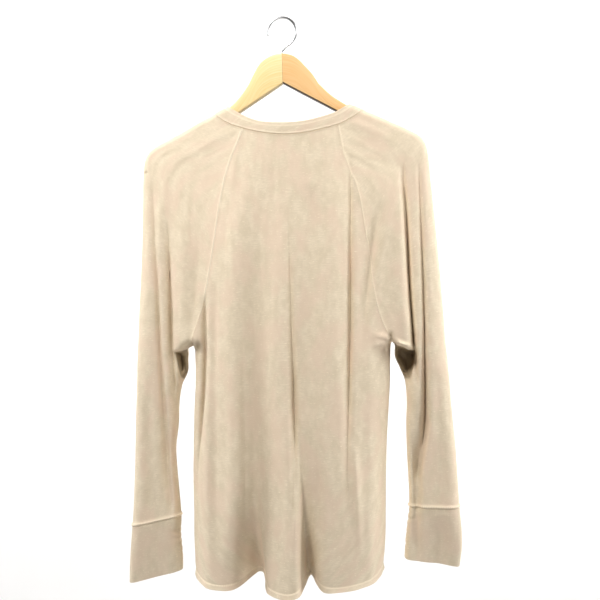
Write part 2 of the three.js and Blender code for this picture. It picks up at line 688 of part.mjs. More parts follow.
const backGrid = seq(0, LAST_BODY_ROW).map((k) => bodyRow(k, -1, BACK_COLS));
const frontGrid = seq(0, LAST_BODY_ROW).map((k) => bodyRow(k, 1, FRONT_COLS));
add('back', wall(drawBack(backGrid, { last: false }), PANEL_WALL), materials.knit);
add('front', wall(drawBack(frontGrid, { last: false }), PANEL_WALL, { flip: true }), materials.knit);

const sleeveGrids = {};
for (const side of ['left', 'right']) {
  const grid = seq(0, LAST_CUFF_ROW).map((k) => sleeveRow(side, k));
  sleeveGrids[side] = grid;
  const flip = side === 'left';
  const upper = drawBack(grid.slice(0, LAST_SLEEVE_ROW + 1), { left: false, right: false });
  const cols = upper[0].length;
  for (let k = 0; k < PIT_ROW; k += 1) {
    for (const [j, n] of [[0, 1], [cols - 1, cols - 2]]) {
      const d = grid[k][n].p.clone().sub(grid[k][j].p);
      const t = grid[k + 1][j].p.clone().sub(grid[Math.max(0, k - 1)][j].p).normalize();
      d.addScaledVector(t, -d.dot(t)).setLength(SEAM_GAP / 2);
      upper[k][j] = { p: upper[k][j].p.clone().add(d), n: upper[k][j].n };
    }
  }
  upper[PIT_ROW][0] = { p: upper[PIT_ROW][0].p.clone().add(new THREE.Vector3(SIDE_SIGN[side] * SEAM_GAP, 0, 0)), n: upper[PIT_ROW][0].n };
  add(`sleeve_${side}`, wall(upper, PANEL_WALL, { closedFrom: PIT_ROW, flip }), materials.knit);
  const cuff = drawBack(grid.slice(LAST_SLEEVE_ROW).map((row) => row.slice(0, -1)),
    { last: false, left: false, right: false });
  add(`cuff_${side}`, wall(cuff, CUFF_WALL, { ring: true, flip }), materials.rib);
}

// Neckband: a loop whose seam edge has the panels' own points.
function freeEdge(rows, seamPoint, sheet) {
  let best = Infinity, at = 0;
  for (let i = 0; i <= 400; i += 1) {
    const t = (rows.length - 1) * i / 400;
    const [x, z] = neckPoint(rows, t, 'seam');
    const d = (x - seamPoint.x) ** 2 + (z - seamPoint.z) ** 2;
    if (d < best) { best = d; at = t; }
  }
  const [x, z] = neckPoint(rows, at, 'free');
  return node(x, z, sheet);
}
const bandSeam = [];
const bandFree = [];
function bandStretch(row, sheetOf) {
  for (const q of row) {
    const sheet = sheetOf(q);
    bandSeam.push(q);
    bandFree.push(freeEdge(sheet < 0 ? NECK_BACK : NECK_FRONT, q.p, sheet));
  }
}
const H = SLEEVE_HALF_COLS;
bandStretch(backGrid[0].slice(0, -1), () => -1);
bandStretch(sleeveGrids.right[0].slice(0, H), () => -1);
bandStretch(sleeveGrids.right[0].slice(H, -1), () => 1);
bandStretch(frontGrid[0].slice().reverse().slice(0, -1), () => 1);
bandStretch(sleeveGrids.left[0].slice().reverse().slice(0, H), () => 1);
bandStretch(sleeveGrids.left[0].slice().reverse().slice(H, -1), () => -1);
const band = drawBack([bandFree, bandSeam], { first: false, left: false, right: false });
add('neckband', wall(band, BAND_WALL, { ring: true }), materials.rib);

// ------------------------------------------------------------------- hanger

function solid(geometry) {
  const g = geometry.clone();
  g.deleteAttribute('normal');
  g.deleteAttribute('uv');
  const m = mergeVertices(g, 1e-4);
  return new wasm.Manifold(new wasm.Mesh({
    numProp: 3,
    vertProperties: new Float32Array(m.attributes.position.array),
    triVerts: new Uint32Array(m.index.array),
  }));
}
function geometryOf(manifold) {
  const m = manifold.getMesh();
  const g = new THREE.BufferGeometry();
  g.setAttribute('position', new THREE.BufferAttribute(new Float32Array(m.vertProperties), 3));
  g.setIndex(new THREE.BufferAttribute(new Uint32Array(m.triVerts), 1));
  g.computeVertexNormals();
  return g;
}

function armOutline(side) {
  const top = [];
  const rows = ARM_TOP[side];
  const join = rows[rows.length - 1].x;
  for (let x = 0; x < join; x += 7) top.push([x, atValue(rows, x, 'x', 'z')]);
  const r = ARM_HEIGHT / 2;
  const endX = ARM_REACH - r;
  for (let x = join; x < endX - 4; x += 17) top.push([x, armTop(x)]);
  const cz = armTop(endX) - r;
  const round = [];
  for (let i = 0; i <= 8; i += 1) {
    const a = Math.PI / 2 - Math.PI * i / 8;
    round.push([endX + r * Math.cos(a), cz + r * Math.sin(a)]);
  }
  const under = [];
  for (let x = 190; x > 112; x -= 24) under.push([x, armTop(x) - ARM_HEIGHT]);
  for (const x of [104, 92, 80, 66, 44, 22]) {
    const f = smooth((x - 72) / 36);
    under.push([x, lerp(ARM_UNDER.z - ARM_UNDER.slope * x, armLine(x) - ARM_HEIGHT, f)]);
  }
  under.push([0, ARM_UNDER.z]);
  return [...top, ...round, ...under];
}

const tilt = Math.atan(ARM_RISE);
for (const side of ['left', 'right']) {
  const s = SIDE_SIGN[side];
  const start = 16;
  const outline = armOutline(side).map(([x, z]) => [x / Math.cos(tilt), z]);
  const first = outline[0], final = outline[outline.length - 1];
  const shape = new THREE.Shape([
    new THREE.Vector2(-start, first[1]),
    ...outline.map(([x, z]) => new THREE.Vector2(x, z)),
    new THREE.Vector2(-start, final[1]),
  ]);
  const g = new THREE.ExtrudeGeometry(shape, {
    depth: ARM_THICK - 2 * ARM_EDGE, bevelEnabled: true, bevelThickness: ARM_EDGE,
    bevelSize: ARM_EDGE, bevelOffset: -ARM_EDGE, bevelSegments: 2, steps: 1,
  });
  g.translate(0, 0, -(ARM_THICK - 2 * ARM_EDGE) / 2);
  g.rotateX(Math.PI / 2);
  if (s < 0) g.rotateZ(Math.PI);
  g.rotateZ(s * tilt);
  const keep = new THREE.BoxGeometry(400, 400, 400);
  keep.translate(s * (200 + MITRE_GAP / 2), 0, -120);
  const bore = new THREE.CylinderGeometry(WIRE_R + SHANK_FIT, WIRE_R + SHANK_FIT, SHANK_DEPTH + 10, 16);
  bore.rotateX(Math.PI / 2);
  bore.translate(0, 0, ARM_TOP.left[0].z - SHANK_DEPTH - SHANK_FIT + (SHANK_DEPTH + 10) / 2);
  const arm = solid(g).intersect(solid(keep)).subtract(solid(bore));
  add(`hanger_arm_${side}`, geometryOf(arm), side === 'left' ? materials.woodLight : materials.woodWarm);
}

// Hook: a plain bent wire in the plane of the hanger.
{
  const R = HOOK_BEND + WIRE_R;
  const cz = -HOOK_BEND;
  const foot = ARM_TOP.left[0].z;
  const points = [
    new THREE.Vector3(0, 0, foot - SHANK_DEPTH),
    new THREE.Vector3(0, 0, foot - SHANK_DEPTH / 2),
    new THREE.Vector3(0, 0, foot - 1),
    new THREE.Vector3(0, 0, foot + 3.5),
    new THREE.Vector3(4.2, 0, foot + 9),
    new THREE.Vector3(13, 0, cz - 18),
  ];
  for (let i = 0; i <= 9; i += 1) {
    const a = THREE.MathUtils.degToRad(-30 + 220 * i / 9);
    points.push(new THREE.Vector3(R * Math.cos(a), 0, cz + R * Math.sin(a)));
  }
  const path = new THREE.CatmullRomCurve3(points, false, 'centripetal');
  const section = new THREE.Shape();
  const N = 10;
  for (let i = 0; i < N; i += 1) {
    const a = 2 * Math.PI * i / N;
    const p = [WIRE_R * Math.cos(a), WIRE_R * Math.sin(a)];
    if (i === 0) section.moveTo(...p); else section.lineTo(...p);
  }
  section.closePath();
  const g = new THREE.ExtrudeGeometry(section, { steps: 44, extrudePath: path, bevelEnabled: false, curveSegments: 1 });
  g.deleteAttribute('normal');
  g.deleteAttribute('uv');
  const merged = mergeVertices(g, 1e-4);
  merged.computeVertexNormals();
  add('hook', merged, materials.steel);
}

export default group;
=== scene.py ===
# Long-sleeved raglan base layer top of fine rib knit on its wooden hanger.
#
# Works in millimetres until a mesh is made, in the frame of the CAD model:
# the origin is where the hook bears, the garment's back faces -Y, +X is the
# wearer's right and +Z is up. The cloth has the CAD model's own tables for
# its outline, seams and depths, and finer folds, seams and edges.
import math

import bpy
import numpy as np
from mathutils import Matrix, Vector


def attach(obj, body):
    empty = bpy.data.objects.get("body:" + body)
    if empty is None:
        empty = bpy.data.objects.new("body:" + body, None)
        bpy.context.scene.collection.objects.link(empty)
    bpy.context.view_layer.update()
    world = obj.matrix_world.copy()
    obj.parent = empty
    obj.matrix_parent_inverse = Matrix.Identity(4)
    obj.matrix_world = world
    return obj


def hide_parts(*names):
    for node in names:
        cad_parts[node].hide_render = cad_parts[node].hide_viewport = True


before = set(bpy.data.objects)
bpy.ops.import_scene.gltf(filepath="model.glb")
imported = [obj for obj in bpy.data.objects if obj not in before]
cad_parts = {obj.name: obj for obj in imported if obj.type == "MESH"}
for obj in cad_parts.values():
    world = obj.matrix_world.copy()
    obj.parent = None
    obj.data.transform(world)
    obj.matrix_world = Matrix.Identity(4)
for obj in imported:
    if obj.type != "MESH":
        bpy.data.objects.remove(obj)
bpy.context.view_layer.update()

# ------------------------------------------------------------ driving sizes

PANEL_WALL = 1.3
CUFF_WALL = 2.2
BAND_WALL = 2.4
SEAM_GAP = 0.16

ARM_RISE = math.tan(math.radians(12))
ARM_THICK = 11.0
ARM_ROUND = 2.6
ARM_REACH = 204.0
ARM_HEIGHT = 17.0
MITRE_GAP = 0.3
CLOTH_OVER_ARM = 3.3
SHOULDER_HALF = 10.2
SHOULDER_GROWTH = 0.145

WIRE_R = 1.9
HOOK_BEND = 20.0
SHANK_DEPTH = 14.0
SHANK_FIT = 0.3

HEM_FALL = 5.0
HEM_SWAY = 0.15

ROW_STEP = 2.35
BACK_COLS = 160
FRONT_COLS = 118
SLEEVE_COLS = 64       # from a seam to the outer edge
CUFF_ROWS = 52
SUB = 10

# ------------------------------------------------------------------- tables


def table(columns, rows):
    return {c: np.array([r[i] for r in rows], float) for i, c in enumerate(columns.split())}


RAGLAN = {
    "left": table("seamX seamZ outerX outerZ frontX frontZ", [
        (-64, -165, -112, -138.1, -91, -188),
        (-73, -186, -138, -149.6, -97, -208),
        (-83, -207, -166, -162.2, -102, -228),
        (-92, -232, -193, -173.8, -107, -249),
        (-99, -258, -216, -184.5, -111, -271),
        (-105, -286, -229, -198, -115, -295),
        (-110, -315, -234.3, -224, -119, -320),
        (-115, -345, -236.3, -266, -123, -347),
        (-121, -378, -238.8, -330, -127, -378),
        (-128, -412, -242.8, -395, -132, -411),
        (-138, -450, -246.8, -452, -140, -450),
        (-155, -496, -249.6, -500, -155, -496),
    ]),
    "right": table("seamX seamZ outerX outerZ frontX frontZ", [
        (82, -165, 121, -142.1, 100, -190),
        (86, -190, 142, -151.5, 104, -210),
        (91, -214, 165, -161.9, 108, -230),
        (99, -236, 186, -171.6, 112, -251),
        (108, -258, 203.5, -181.2, 116, -273),
        (114, -285, 212.8, -192.5, 119, -297),
        (118, -312, 217.2, -214, 122, -322),
        (122, -342, 220.5, -258, 125, -349),
        (127, -374, 225.8, -320, 128, -379),
        (131, -412, 230.4, -390, 132, -412),
        (139, -455, 234.4, -455, 140, -455),
        (156, -497, 236.6, -500, 156, -497),
    ]),
}
PIT_ROW = 11

SLEEVE = {
    "left": table("innerX innerZ outerX outerZ", [
        (-155, -496, -249.6, -500),
        (-170, -504.5, -250.2, -508),
        (-172.5, -519, -251, -524),
        (-172, -540, -252, -545),
        (-180, -562, -253, -566),
        (-185, -590, -254.3, -594),
        (-187, -625, -256.4, -631),
        (-192, -660, -258.2, -668),
        (-190.5, -700, -260.6, -712),
        (-187.5, -740, -263.6, -755),
        (-185.8, -768, -266.6, -787),
    ]),
    "right": table("innerX innerZ outerX outerZ", [
        (156, -497, 236.6, -500),
        (160, -504, 237.3, -508),
        (160, -522, 238.8, -524),
        (167.5, -540, 240.2, -543),
        (175, -560, 241.6, -563),
        (177, -590, 243.2, -592),
        (175.5, -625, 245.6, -627),
        (175.5, -665, 248.5, -667),
        (176.8, -705, 250.3, -709),
        (177.5, -735, 251.5, -738),
        (177, -753, 252.2, -757),
    ]),
}

CUFF = {
    "left": table("innerX innerZ outerX outerZ", [
        (-185.8, -768, -266.6, -787),
        (-186.8, -797, -269, -818),
        (-184.8, -826, -270.6, -848),
        (-185.2, -852, -272, -876),
    ]),
    "right": table("innerX innerZ outerX outerZ", [
        (177, -753, 252.2, -757),
        (173, -780, 254.2, -785),
        (170, -806, 254.6, -815),
        (168, -830, 250.2, -846),
    ]),
}

SIDES = table("z leftX rightX", [
    (-496, -155, 156),
    (-502, -154, 152.6),
    (-515, -153.6, 151.6),
    (-535, -153.6, 150.8),
    (-560, -154.4, 150),
    (-600, -156.4, 147),
    (-650, -158.6, 143.2),
    (-700, -160.2, 140.8),
    (-750, -161, 139.2),
    (-800, -161.2, 137.4),
    (-840, -160.2, 133.4),
    (-880, -155, 128),
])

HEM = table("x z", [
    (-170, -858), (-150, -859.5), (-105, -860), (-80, -860), (-56, -859),
    (-34, -864), (-12, -867), (6, -864), (20, -856.5), (38, -857), (60, -859.5),
    (115, -855), (130, -851.5), (150, -846),
])

NECK_BACK = table("seamX seamZ freeX freeZ", [
    (-112, -138.1, -90, -128.2),
    (-91, -153.5, -73, -139.5),
    (-64, -165, -51, -151.5),
    (-32, -174, -29, -158),
    (4, -178.5, 4, -160.5),
    (40, -175.5, 36, -158.2),
    (82, -165, 72, -148.5),
    (104, -153.5, 89, -140),
    (121, -142.1, 100, -132.7),
])
NECK_FRONT = table("seamX seamZ freeX freeZ", [
    (121, -142.1, 100, -132.7),
    (113, -166, 95, -155),
    (100, -190, 83, -179),
    (76, -219, 63, -203),
    (42, -239, 35, -221.5),
    (4, -247, 4, -229),
    (-34, -238, -27, -221),
    (-68, -217, -54, -201.5),
    (-91, -188, -74, -177.5),
    (-104, -163, -86, -152),
    (-112, -138.1, -90, -128.2),
])
RAGLAN_ROW_BACK = {"left": 2, "right": 6}
RAGLAN_ROW_FRONT = {"right": 2, "left": 8}

BODY_DEPTH = table("z half", [
    (-100, 17), (-180, 18), (-260, 22), (-350, 28), (-450, 35), (-550, 42),
    (-650, 50), (-750, 57), (-880, 65),
])
SLEEVE_DEPTH = table("z half", [
    (-100, 14), (-200, 14), (-260, 18), (-350, 23), (-450, 27), (-530, 28),
    (-620, 25), (-720, 21), (-790, 18), (-880, 15),
])
REACH = table("z outer sleeve body", [
    (-100, 9, 24, 30), (-192, 9, 24, 30), (-240, 14, 24, 30),
    (-320, 20, 24, 32), (-450, 24, 24, 34), (-600, 24, 24, 38),
    (-760, 20, 20, 44), (-880, 16, 16, 46),
])

# Folds: stations down each one's line with its depth (ridges are negative)
# and its half width towards -X and +X. Each fold also has the squareness of
# its two flanks: 2 is round, below it sharp, above it flat in the middle.
STATION = "z x d wl wr"


def fold(pl, pr, rows):
    return {"pl": pl, "pr": pr, **table(STATION, rows)}


BACK_FOLDS = [
    # the crease from the left raglan seam down past the armpit
    fold(1.6, 1.5, [
        (-414, -129, 0, 5, 3.5), (-436, -130, 6, 5, 3.5), (-468, -131, 11, 5, 3.5),
        (-504, -131, 14, 5.5, 4), (-550, -133, 15, 6, 4), (-581, -135, 15, 6, 4),
        (-611, -138, 13, 5.5, 4), (-641, -141, 10, 5, 4), (-680, -145, 6, 5, 4.5),
        (-730, -148, 2.5, 5, 5), (-780, -149, 0, 5, 5)]),
    # beside it, a slim trough and the ridge before the next fold
    fold(2, 2, [
        (-380, -112, 0, 9, 8), (-440, -112, 2.4, 9, 8), (-500, -114, 2.8, 9, 8),
        (-560, -115, 2.4, 9, 8), (-640, -116, 3.2, 9, 8), (-700, -117, 4, 9, 8),
        (-770, -115, 3, 9, 8), (-840, -113, 0, 9, 8)]),
    fold(2, 2, [
        (-240, -64, 0, 12, 12), (-279, -68, -1.6, 12, 12), (-340, -80, -2.2, 13, 13),
        (-401, -82, -1.8, 13, 14), (-461, -84, -2, 14, 14), (-522, -86, -2.4, 14, 14),
        (-581, -87, -3.4, 14, 14), (-641, -86, -4.2, 14, 14), (-700, -85, -5, 13, 13),
        (-759, -87, -5, 13, 13), (-811, -89, -3, 13, 13), (-850, -90, 0, 13, 13)]),
    # the broad soft fold left of the middle, running out into the hem
    fold(2, 2, [
        (-225, -28, 0, 16, 20), (-279, -33, 2.4, 17, 21), (-340, -40, 4.6, 19, 23),
        (-401, -46, 7.5, 20, 25), (-461, -50, 9, 19, 26), (-522, -52, 10.5, 18, 26),
        (-581, -53, 12.5, 18, 27), (-641, -52, 14.5, 17, 28), (-700, -52, 17, 17, 28),
        (-759, -54, 20, 18, 27), (-811, -57, 22, 19, 26), (-872, -58, 22, 20, 25)]),
    # a narrower fold on its left flank
    fold(2, 1.8, [
        (-360, -70, 0, 7, 5), (-420, -71, 1.4, 7, 5), (-500, -70, 1.8, 7, 5),
        (-580, -69, 2.2, 7, 5), (-640, -68, 2.8, 7, 5), (-720, -70, 3.2, 7, 5),
        (-780, -72, 2, 7, 5), (-830, -73, 0, 7, 5)]),
    # the hem's two deep valleys
    fold(2.4, 4, [
        (-715, -62, 0, 24, 17), (-740, -62, 3, 24, 17), (-775, -61, 11, 24, 17),
        (-805, -60, 23, 24, 17), (-835, -57, 40, 24, 16), (-872, -55, 64, 24, 16)]),
    fold(3, 2.2, [
        (-610, 18, 0, 4, 22), (-645, 19, 3.5, 4, 22), (-700, 21, 7.5, 4.5, 22),
        (-740, 22, 12, 4.5, 19), (-790, 22, 24, 6, 16), (-835, 23, 46, 7, 15),
        (-872, 26, 78, 9, 16)]),
    # the drop down the middle, sharp at its top edge
    fold(1.5, 1.6, [
        (-280, 4, 0, 3.6, 6), (-345, 5, 2.6, 3.6, 6), (-400, 6, 4.6, 3.6, 6),
        (-461, 6.5, 6.8, 3.6, 6.4), (-522, 7, 9.4, 3.6, 6.6), (-581, 7.5, 12.4, 3.6, 6.6),
        (-625, 8, 13, 3.6, 6.4), (-665, 8, 10, 3.6, 6), (-720, 8, 6, 3.6, 5),
        (-770, 8, 0, 3.6, 5)]),
    fold(2, 2, [
        (-250, 36, 0, 17, 20), (-279, 38, 3, 17, 20), (-340, 32, 3.6, 17, 20),
        (-401, 26, 4, 15, 22), (-461, 23, 4.6, 13, 22), (-522, 21, 4.8, 13, 22),
        (-581, 22, 4.6, 13, 22), (-641, 26, 3, 12, 20), (-700, 32, 0, 12, 20)]),
    # bright crests left of the valley
    fold(2, 2, [
        (-560, 4, 0, 12, 7), (-630, 4, -3, 15, 7), (-690, 6, -5.4, 17, 7),
        (-750, 8, -7, 19, 7), (-811, 8, -7.6, 20, 7), (-872, 8, -7.4, 20, 7)]),
    fold(2, 2, [
        (-590, 5, 0, 2.6, 3), (-620, 6, -2.4, 2.6, 3), (-690, 8.5, -3.2, 2.6, 3),
        (-750, 10, -2.4, 2.6, 3), (-800, 10, 0, 2.6, 3)]),
    fold(2, 2, [
        (-640, 40, 0, 6, 8), (-690, 43, 2.4, 6, 8), (-740, 44, 3, 6, 8),
        (-800, 45, 2, 6, 8), (-850, 46, 0, 6, 8)]),
    # the long ridge and crease right of the middle
    fold(2, 2, [
        (-225, 76, 0, 20, 14), (-279, 76, -2.4, 20, 14), (-340, 74, -3.2, 20, 15),
        (-401, 72, -3.4, 20, 15), (-461, 70, -3.4, 20, 16), (-522, 71, -3.6, 20, 16),
        (-581, 74, -3, 20, 14), (-641, 76, -2, 19, 12), (-700, 76, -1.2, 18, 12),
        (-760, 76, 0, 18, 12)]),
    fold(1.7, 1.4, [
        (-200, 99, 0, 4, 3.6), (-240, 99, 2.4, 4, 3.6), (-282, 99, 4.6, 4.5, 3.6),
        (-340, 98, 7, 5, 3.6), (-402, 97, 9, 5.5, 3.6), (-470, 95, 10, 5.5, 3.6),
        (-540, 92, 10, 5.5, 3.8), (-600, 90, 8, 6, 4.4), (-660, 88, 5.5, 6, 5),
        (-720, 88, 3, 6, 5), (-775, 89, 0, 6, 5)]),
    fold(2, 2, [
        (-640, 99, 0, 4, 4), (-680, 100, -2.6, 4, 4), (-702, 101, -3.4, 4.5, 4.5),
        (-750, 102, -3.4, 5, 5), (-800, 104, -1, 5, 5), (-830, 105, 0, 5, 5)]),
    # slanting folds below the right raglan seam
    fold(1.8, 2, [
        (-275, 145, 0, 7, 6), (-310, 137, 2.6, 7, 6), (-375, 127, 4.4, 7, 6),
        (-425, 119, 4.2, 7, 6), (-474, 112, 2.6, 7, 6), (-520, 108, 0, 7, 6)]),
    fold(2, 2, [
        (-285, 158, 0, 7, 7), (-330, 150, -2.4, 7, 7), (-390, 141, -3, 7, 7),
        (-440, 136, -2, 7, 7), (-490, 131, 0, 7, 7)]),
    fold(2, 2, [
        (-520, 117, 0, 9, 8), (-580, 115, 2.6, 9, 8), (-640, 113, 3, 9, 8),
        (-700, 114, 2, 9, 8), (-740, 115, 0, 9, 8)]),
    fold(2, 2, [
        (-620, 122, 0, 9, 7), (-690, 121, -3, 9, 7), (-760, 120, -4.6, 9, 7),
        (-818, 119, -4.6, 9, 7), (-872, 119, -4, 9, 7)]),
    # left sleeve
    fold(1.5, 1.4, [
        (-225, -216, 0, 4, 3), (-268, -216, 2.4, 4, 3), (-331, -215, 4, 4, 3.2),
        (-394, -212, 6.5, 4, 3.4), (-488, -209, 9, 4.5, 4), (-583, -206, 9, 5, 5),
        (-646, -204, 9, 6, 5.5), (-706, -202, 7, 6, 5.5), (-741, -198, 4, 7, 5),
        (-765, -196, 0, 7, 5)]),
    fold(1.6, 1.4, [
        (-290, -194, 0, 5, 3.5), (-320, -192, 3, 5.5, 3.5), (-360, -190, 8, 6, 3.5),
        (-395, -190, 11, 6, 3.5), (-450, -189, 13, 6, 3.5), (-520, -188, 12, 6, 3.5),
        (-575, -186, 6, 5, 3.5), (-610, -186, 0, 5, 4)]),
    fold(2, 2, [
        (-270, -168, 0, 9, 13), (-320, -168, -2.6, 9, 14), (-400, -167, -3.4, 9, 15),
        (-470, -166, -2.4, 9, 15), (-510, -166, 0, 9, 15)]),
    fold(2, 2, [
        (-240, -204, 0, 6, 8), (-280, -203, -1.8, 6, 8), (-340, -205, -1.2, 6, 8),
        (-390, -206, 0, 6, 8)]),
    fold(2, 1.8, [
        (-330, -137, 0, 8, 6), (-380, -143, 2, 8, 6), (-430, -148, 3, 8, 6),
        (-480, -153, 1.4, 7, 6), (-496, -155, 0, 7, 6)]),
    fold(2, 2, [
        (-640, -199, 0, 4, 4), (-670, -196, -2.6, 4, 4), (-709, -192, -4.4, 5, 4.5),
        (-750, -189, -5, 6, 5), (-775, -187, -5, 8, 6)]),
    fold(2, 2, [
        (-560, -232, 0, 8, 9), (-620, -232, 2.6, 8, 9), (-690, -231, 3, 8, 9),
        (-750, -230, 1.6, 8, 9), (-775, -230, 0, 8, 9)]),
    # right sleeve
    fold(2, 2.4, [
        (-220, 170, 0, 26, 5), (-270, 172, -5, 28, 5), (-340, 174, -8, 30, 5),
        (-420, 177, -9, 28, 5), (-480, 180, -7, 24, 5), (-520, 182, 0, 20, 5)]),
    fold(1.7, 1.4, [
        (-215, 179, 0, 3.6, 3.5), (-250, 180, 5, 3.8, 3.5), (-300, 182, 8, 4, 3.5),
        (-350, 183, 11, 4.5, 3), (-404, 184, 13, 5, 3), (-465, 187, 15, 5.5, 3),
        (-508, 190, 17, 6, 3), (-550, 193, 9, 6, 4), (-580, 195, 0, 6, 4)]),
    fold(1.8, 1.6, [
        (-215, 201, 0, 2.6, 3.6), (-250, 203, 3, 2.6, 3.8), (-290, 204, 5, 2.8, 4),
        (-343, 204.5, 7, 2.8, 4.2), (-405, 205, 9, 3, 4.4), (-496, 205, 12, 3.4, 4.6),
        (-588, 204, 18, 6.5, 4.6), (-622, 203, 19, 8.5, 4.8), (-655, 199, 17, 9, 4.8),
        (-690, 192, 10, 8, 4.6), (-725, 186, 0, 7, 4)]),
    fold(2, 2, [
        (-590, 183, 0, 7, 6), (-640, 187, 4, 7, 6), (-700, 190, 8, 8, 6),
        (-760, 188, 7, 8, 6), (-818, 186, 3, 8, 6), (-850, 185, 0, 8, 6)]),
    fold(2, 2, [
        (-520, 224, 0, 9, 9), (-590, 225, 2.6, 9, 9), (-660, 226, 3.4, 9, 9),
        (-730, 228, 1.6, 9, 9), (-757, 228, 0, 9, 9)]),
    # across the cuffs
    fold(2, 2, [
        (-770, -177, 0, 10, 6), (-800, -177, 4, 10, 6), (-830, -176, 6, 11, 6),
        (-880, -175, 6, 11, 6)]),
    fold(2, 2, [
        (-765, 222, 0, 13, 20), (-790, 222, 4, 14, 22), (-830, 222, 7, 15, 24),
        (-880, 222, 7, 15, 24)]),
]
FRONT_FOLDS = [
    fold(2.2, 2.6, [
        (-390, -83, 0, 20, 16), (-450, -85, 3, 20, 16), (-640, -90, 12, 20, 16),
        (-760, -93, 19, 20, 16), (-872, -96, 28, 20, 16)]),
    fold(2.2, 3, [
        (-300, -30, 0, 18, 14), (-400, -29, 4, 18, 14), (-600, -28, 12, 18, 14),
        (-740, -25, 20, 18, 14), (-872, -22, 30, 18, 14)]),
    fold(2.4, 2.2, [
        (-330, 33, 0, 16, 20), (-430, 37, 4, 16, 20), (-620, 42, 11, 16, 20),
        (-750, 44, 18, 16, 20), (-872, 46, 26, 16, 20)]),
    fold(1.7, 2, [
        (-280, 92, 0, 8, 10), (-340, 92, 4, 8, 10), (-460, 92, 8, 9, 11),
        (-560, 92, 10, 10, 12), (-720, 95, 13, 12, 14), (-872, 98, 20, 12, 14)]),
    fold(1.6, 1.6, [
        (-380, -126, 0, 5, 6), (-430, -127, 5, 5, 6), (-520, -128, 9, 5, 6),
        (-610, -132, 8, 5, 6), (-720, -138, 0, 6, 7)]),
    fold(1.7, 1.7, [
        (-215, -204, 0, 5, 6), (-280, -204, 5, 5, 6), (-380, -205, 8, 5, 6),
        (-470, -206, 9, 5, 6), (-600, -210, 7, 5, 6), (-760, -215, 0, 6, 7)]),
    fold(1.8, 1.8, [
        (-350, -176, 0, 5, 6), (-400, -179, 4, 5, 6), (-470, -184, 7, 5, 6),
        (-550, -191, 5, 5, 6), (-620, -197, 0, 5, 6)]),
    fold(1.7, 1.7, [
        (-215, 187, 0, 6, 5), (-280, 188, 5, 6, 5), (-380, 190, 8, 6, 5),
        (-440, 192, 9, 6, 5), (-570, 197, 7, 6, 5), (-720, 204, 0, 7, 6)]),
    fold(1.8, 1.8, [
        (-280, 212, 0, 5, 5), (-340, 212, 4, 5, 5), (-430, 214, 6, 5, 5),
        (-520, 219, 4, 5, 5), (-590, 223, 0, 5, 5)]),
]

# Hollow under each arm, seen below the arch from (x0, z0) to (x1, z1); its floor also gets painted shade in the
# cloth's colour.
UNDERARM = {
    "left": dict(x0=-183, z0=-506, x1=-134, z1=-491, foot=-562, depth=19, shift=18),
    "right": dict(x0=190, z0=-510, x1=150, z1=-497, foot=-562, depth=22, shift=24),
}
HOLLOW_EDGE = 3.6
CLEAR = 5.0             # least gap between the back and front layers
# Small puckers of the back layer where the arms' folds start; each also gets painted shade in the cloth's colour.
PUCKERS = [dict(x=-143, z=-500, w=7, h=8, d=9), dict(x=155, z=-487, w=3.6, h=3.8, d=5),
           dict(x=-229, z=-222, w=4, h=1.8, d=3)]
RIM = dict(high=2.6, above=3.6, half=3.0)   # rolled edge of cloth over each hollow

ARM_TOP = {
    "left": table("x z", [
        (0, -53.2), (10, -54), (20, -56.5), (31, -62), (37, -68), (44, -78.6),
        (54, -96), (66, -110.9), (77, -122.2), (90, -132.2)]),
    "right": table("x z", [
        (0, -53.2), (10, -55), (18, -58.4), (25, -64), (31.4, -71.4),
        (43.6, -84.8), (53, -99.9), (69, -115.7), (84, -126.6), (97, -134.6)]),
}
ARM_LINE = dict(x=87.0, z=-130.1, slope=0.45)
ARM_DROOP = dict(start=176.0, drop=5.0)
ARM_UNDER = dict(z=-99.8, slope=0.545)

SIDE_SIGN = {"left": -1.0, "right": 1.0}

# ------------------------------------------------------------ interpolation


def lerp(a, b, t):
    return a + (b - a) * t


def smooth(t):
    c = np.clip(t, 0.0, 1.0)
    return c * c * (3 - 2 * c)


def at_row(col, t):
    """Smooth curve through a table's column, by row number."""
    t = np.asarray(t, float)
    n = len(col) - 1
    i = np.clip(np.floor(t).astype(int), 0, n - 1)
    f = np.clip(t - i, 0, 1)
    ext = np.concatenate([[2 * col[0] - col[1]], col, [2 * col[-1] - col[-2]]])
    p0, p1, p2, p3 = ext[i], ext[i + 1], ext[i + 2], ext[i + 3]
    return 0.5 * (2 * p1 + (p2 - p0) * f + (2 * p0 - 5 * p1 + 4 * p2 - p3) * f * f
                  + (3 * p1 - p0 - 3 * p2 + p3) * f ** 3)


def row_of(keys, v):
    """Row number at which a table's key column has the value v."""
    v = np.asarray(v, float)
    if keys[-1] < keys[0]:
        keys, v = -keys, -v
    i = np.clip(np.searchsorted(keys[1:-1], v, side="left"), 0, len(keys) - 2)
    return i + np.clip((v - keys[i]) / (keys[i + 1] - keys[i]), 0, 1)


def at_value(tab, v, by, key):
    return at_row(tab[key], row_of(tab[by], v))


def sampled(tab, key_x, key_z):
    t = np.arange((len(tab[key_x]) - 1) * SUB + 1) / SUB
    return np.stack([at_row(tab[key_x], t), at_row(tab[key_z], t)], 1)


def on_line(tab, key_x, key_z, t):
    """Point of the sampled polyline, so that edges lie on the outline."""
    p = sampled(tab, key_x, key_z)
    u = np.clip(np.asarray(t, float) * SUB, 0, len(p) - 1)
    n = np.arange(len(p))
    return np.interp(u, n, p[:, 0]), np.interp(u, n, p[:, 1])


def side_line(side):
    key = "leftX" if side == "left" else "rightX"
    t = np.arange((len(SIDES["z"]) - 1) * SUB + 1) / SUB
    return np.stack([at_row(SIDES[key], t), at_row(SIDES["z"], t)], 1)


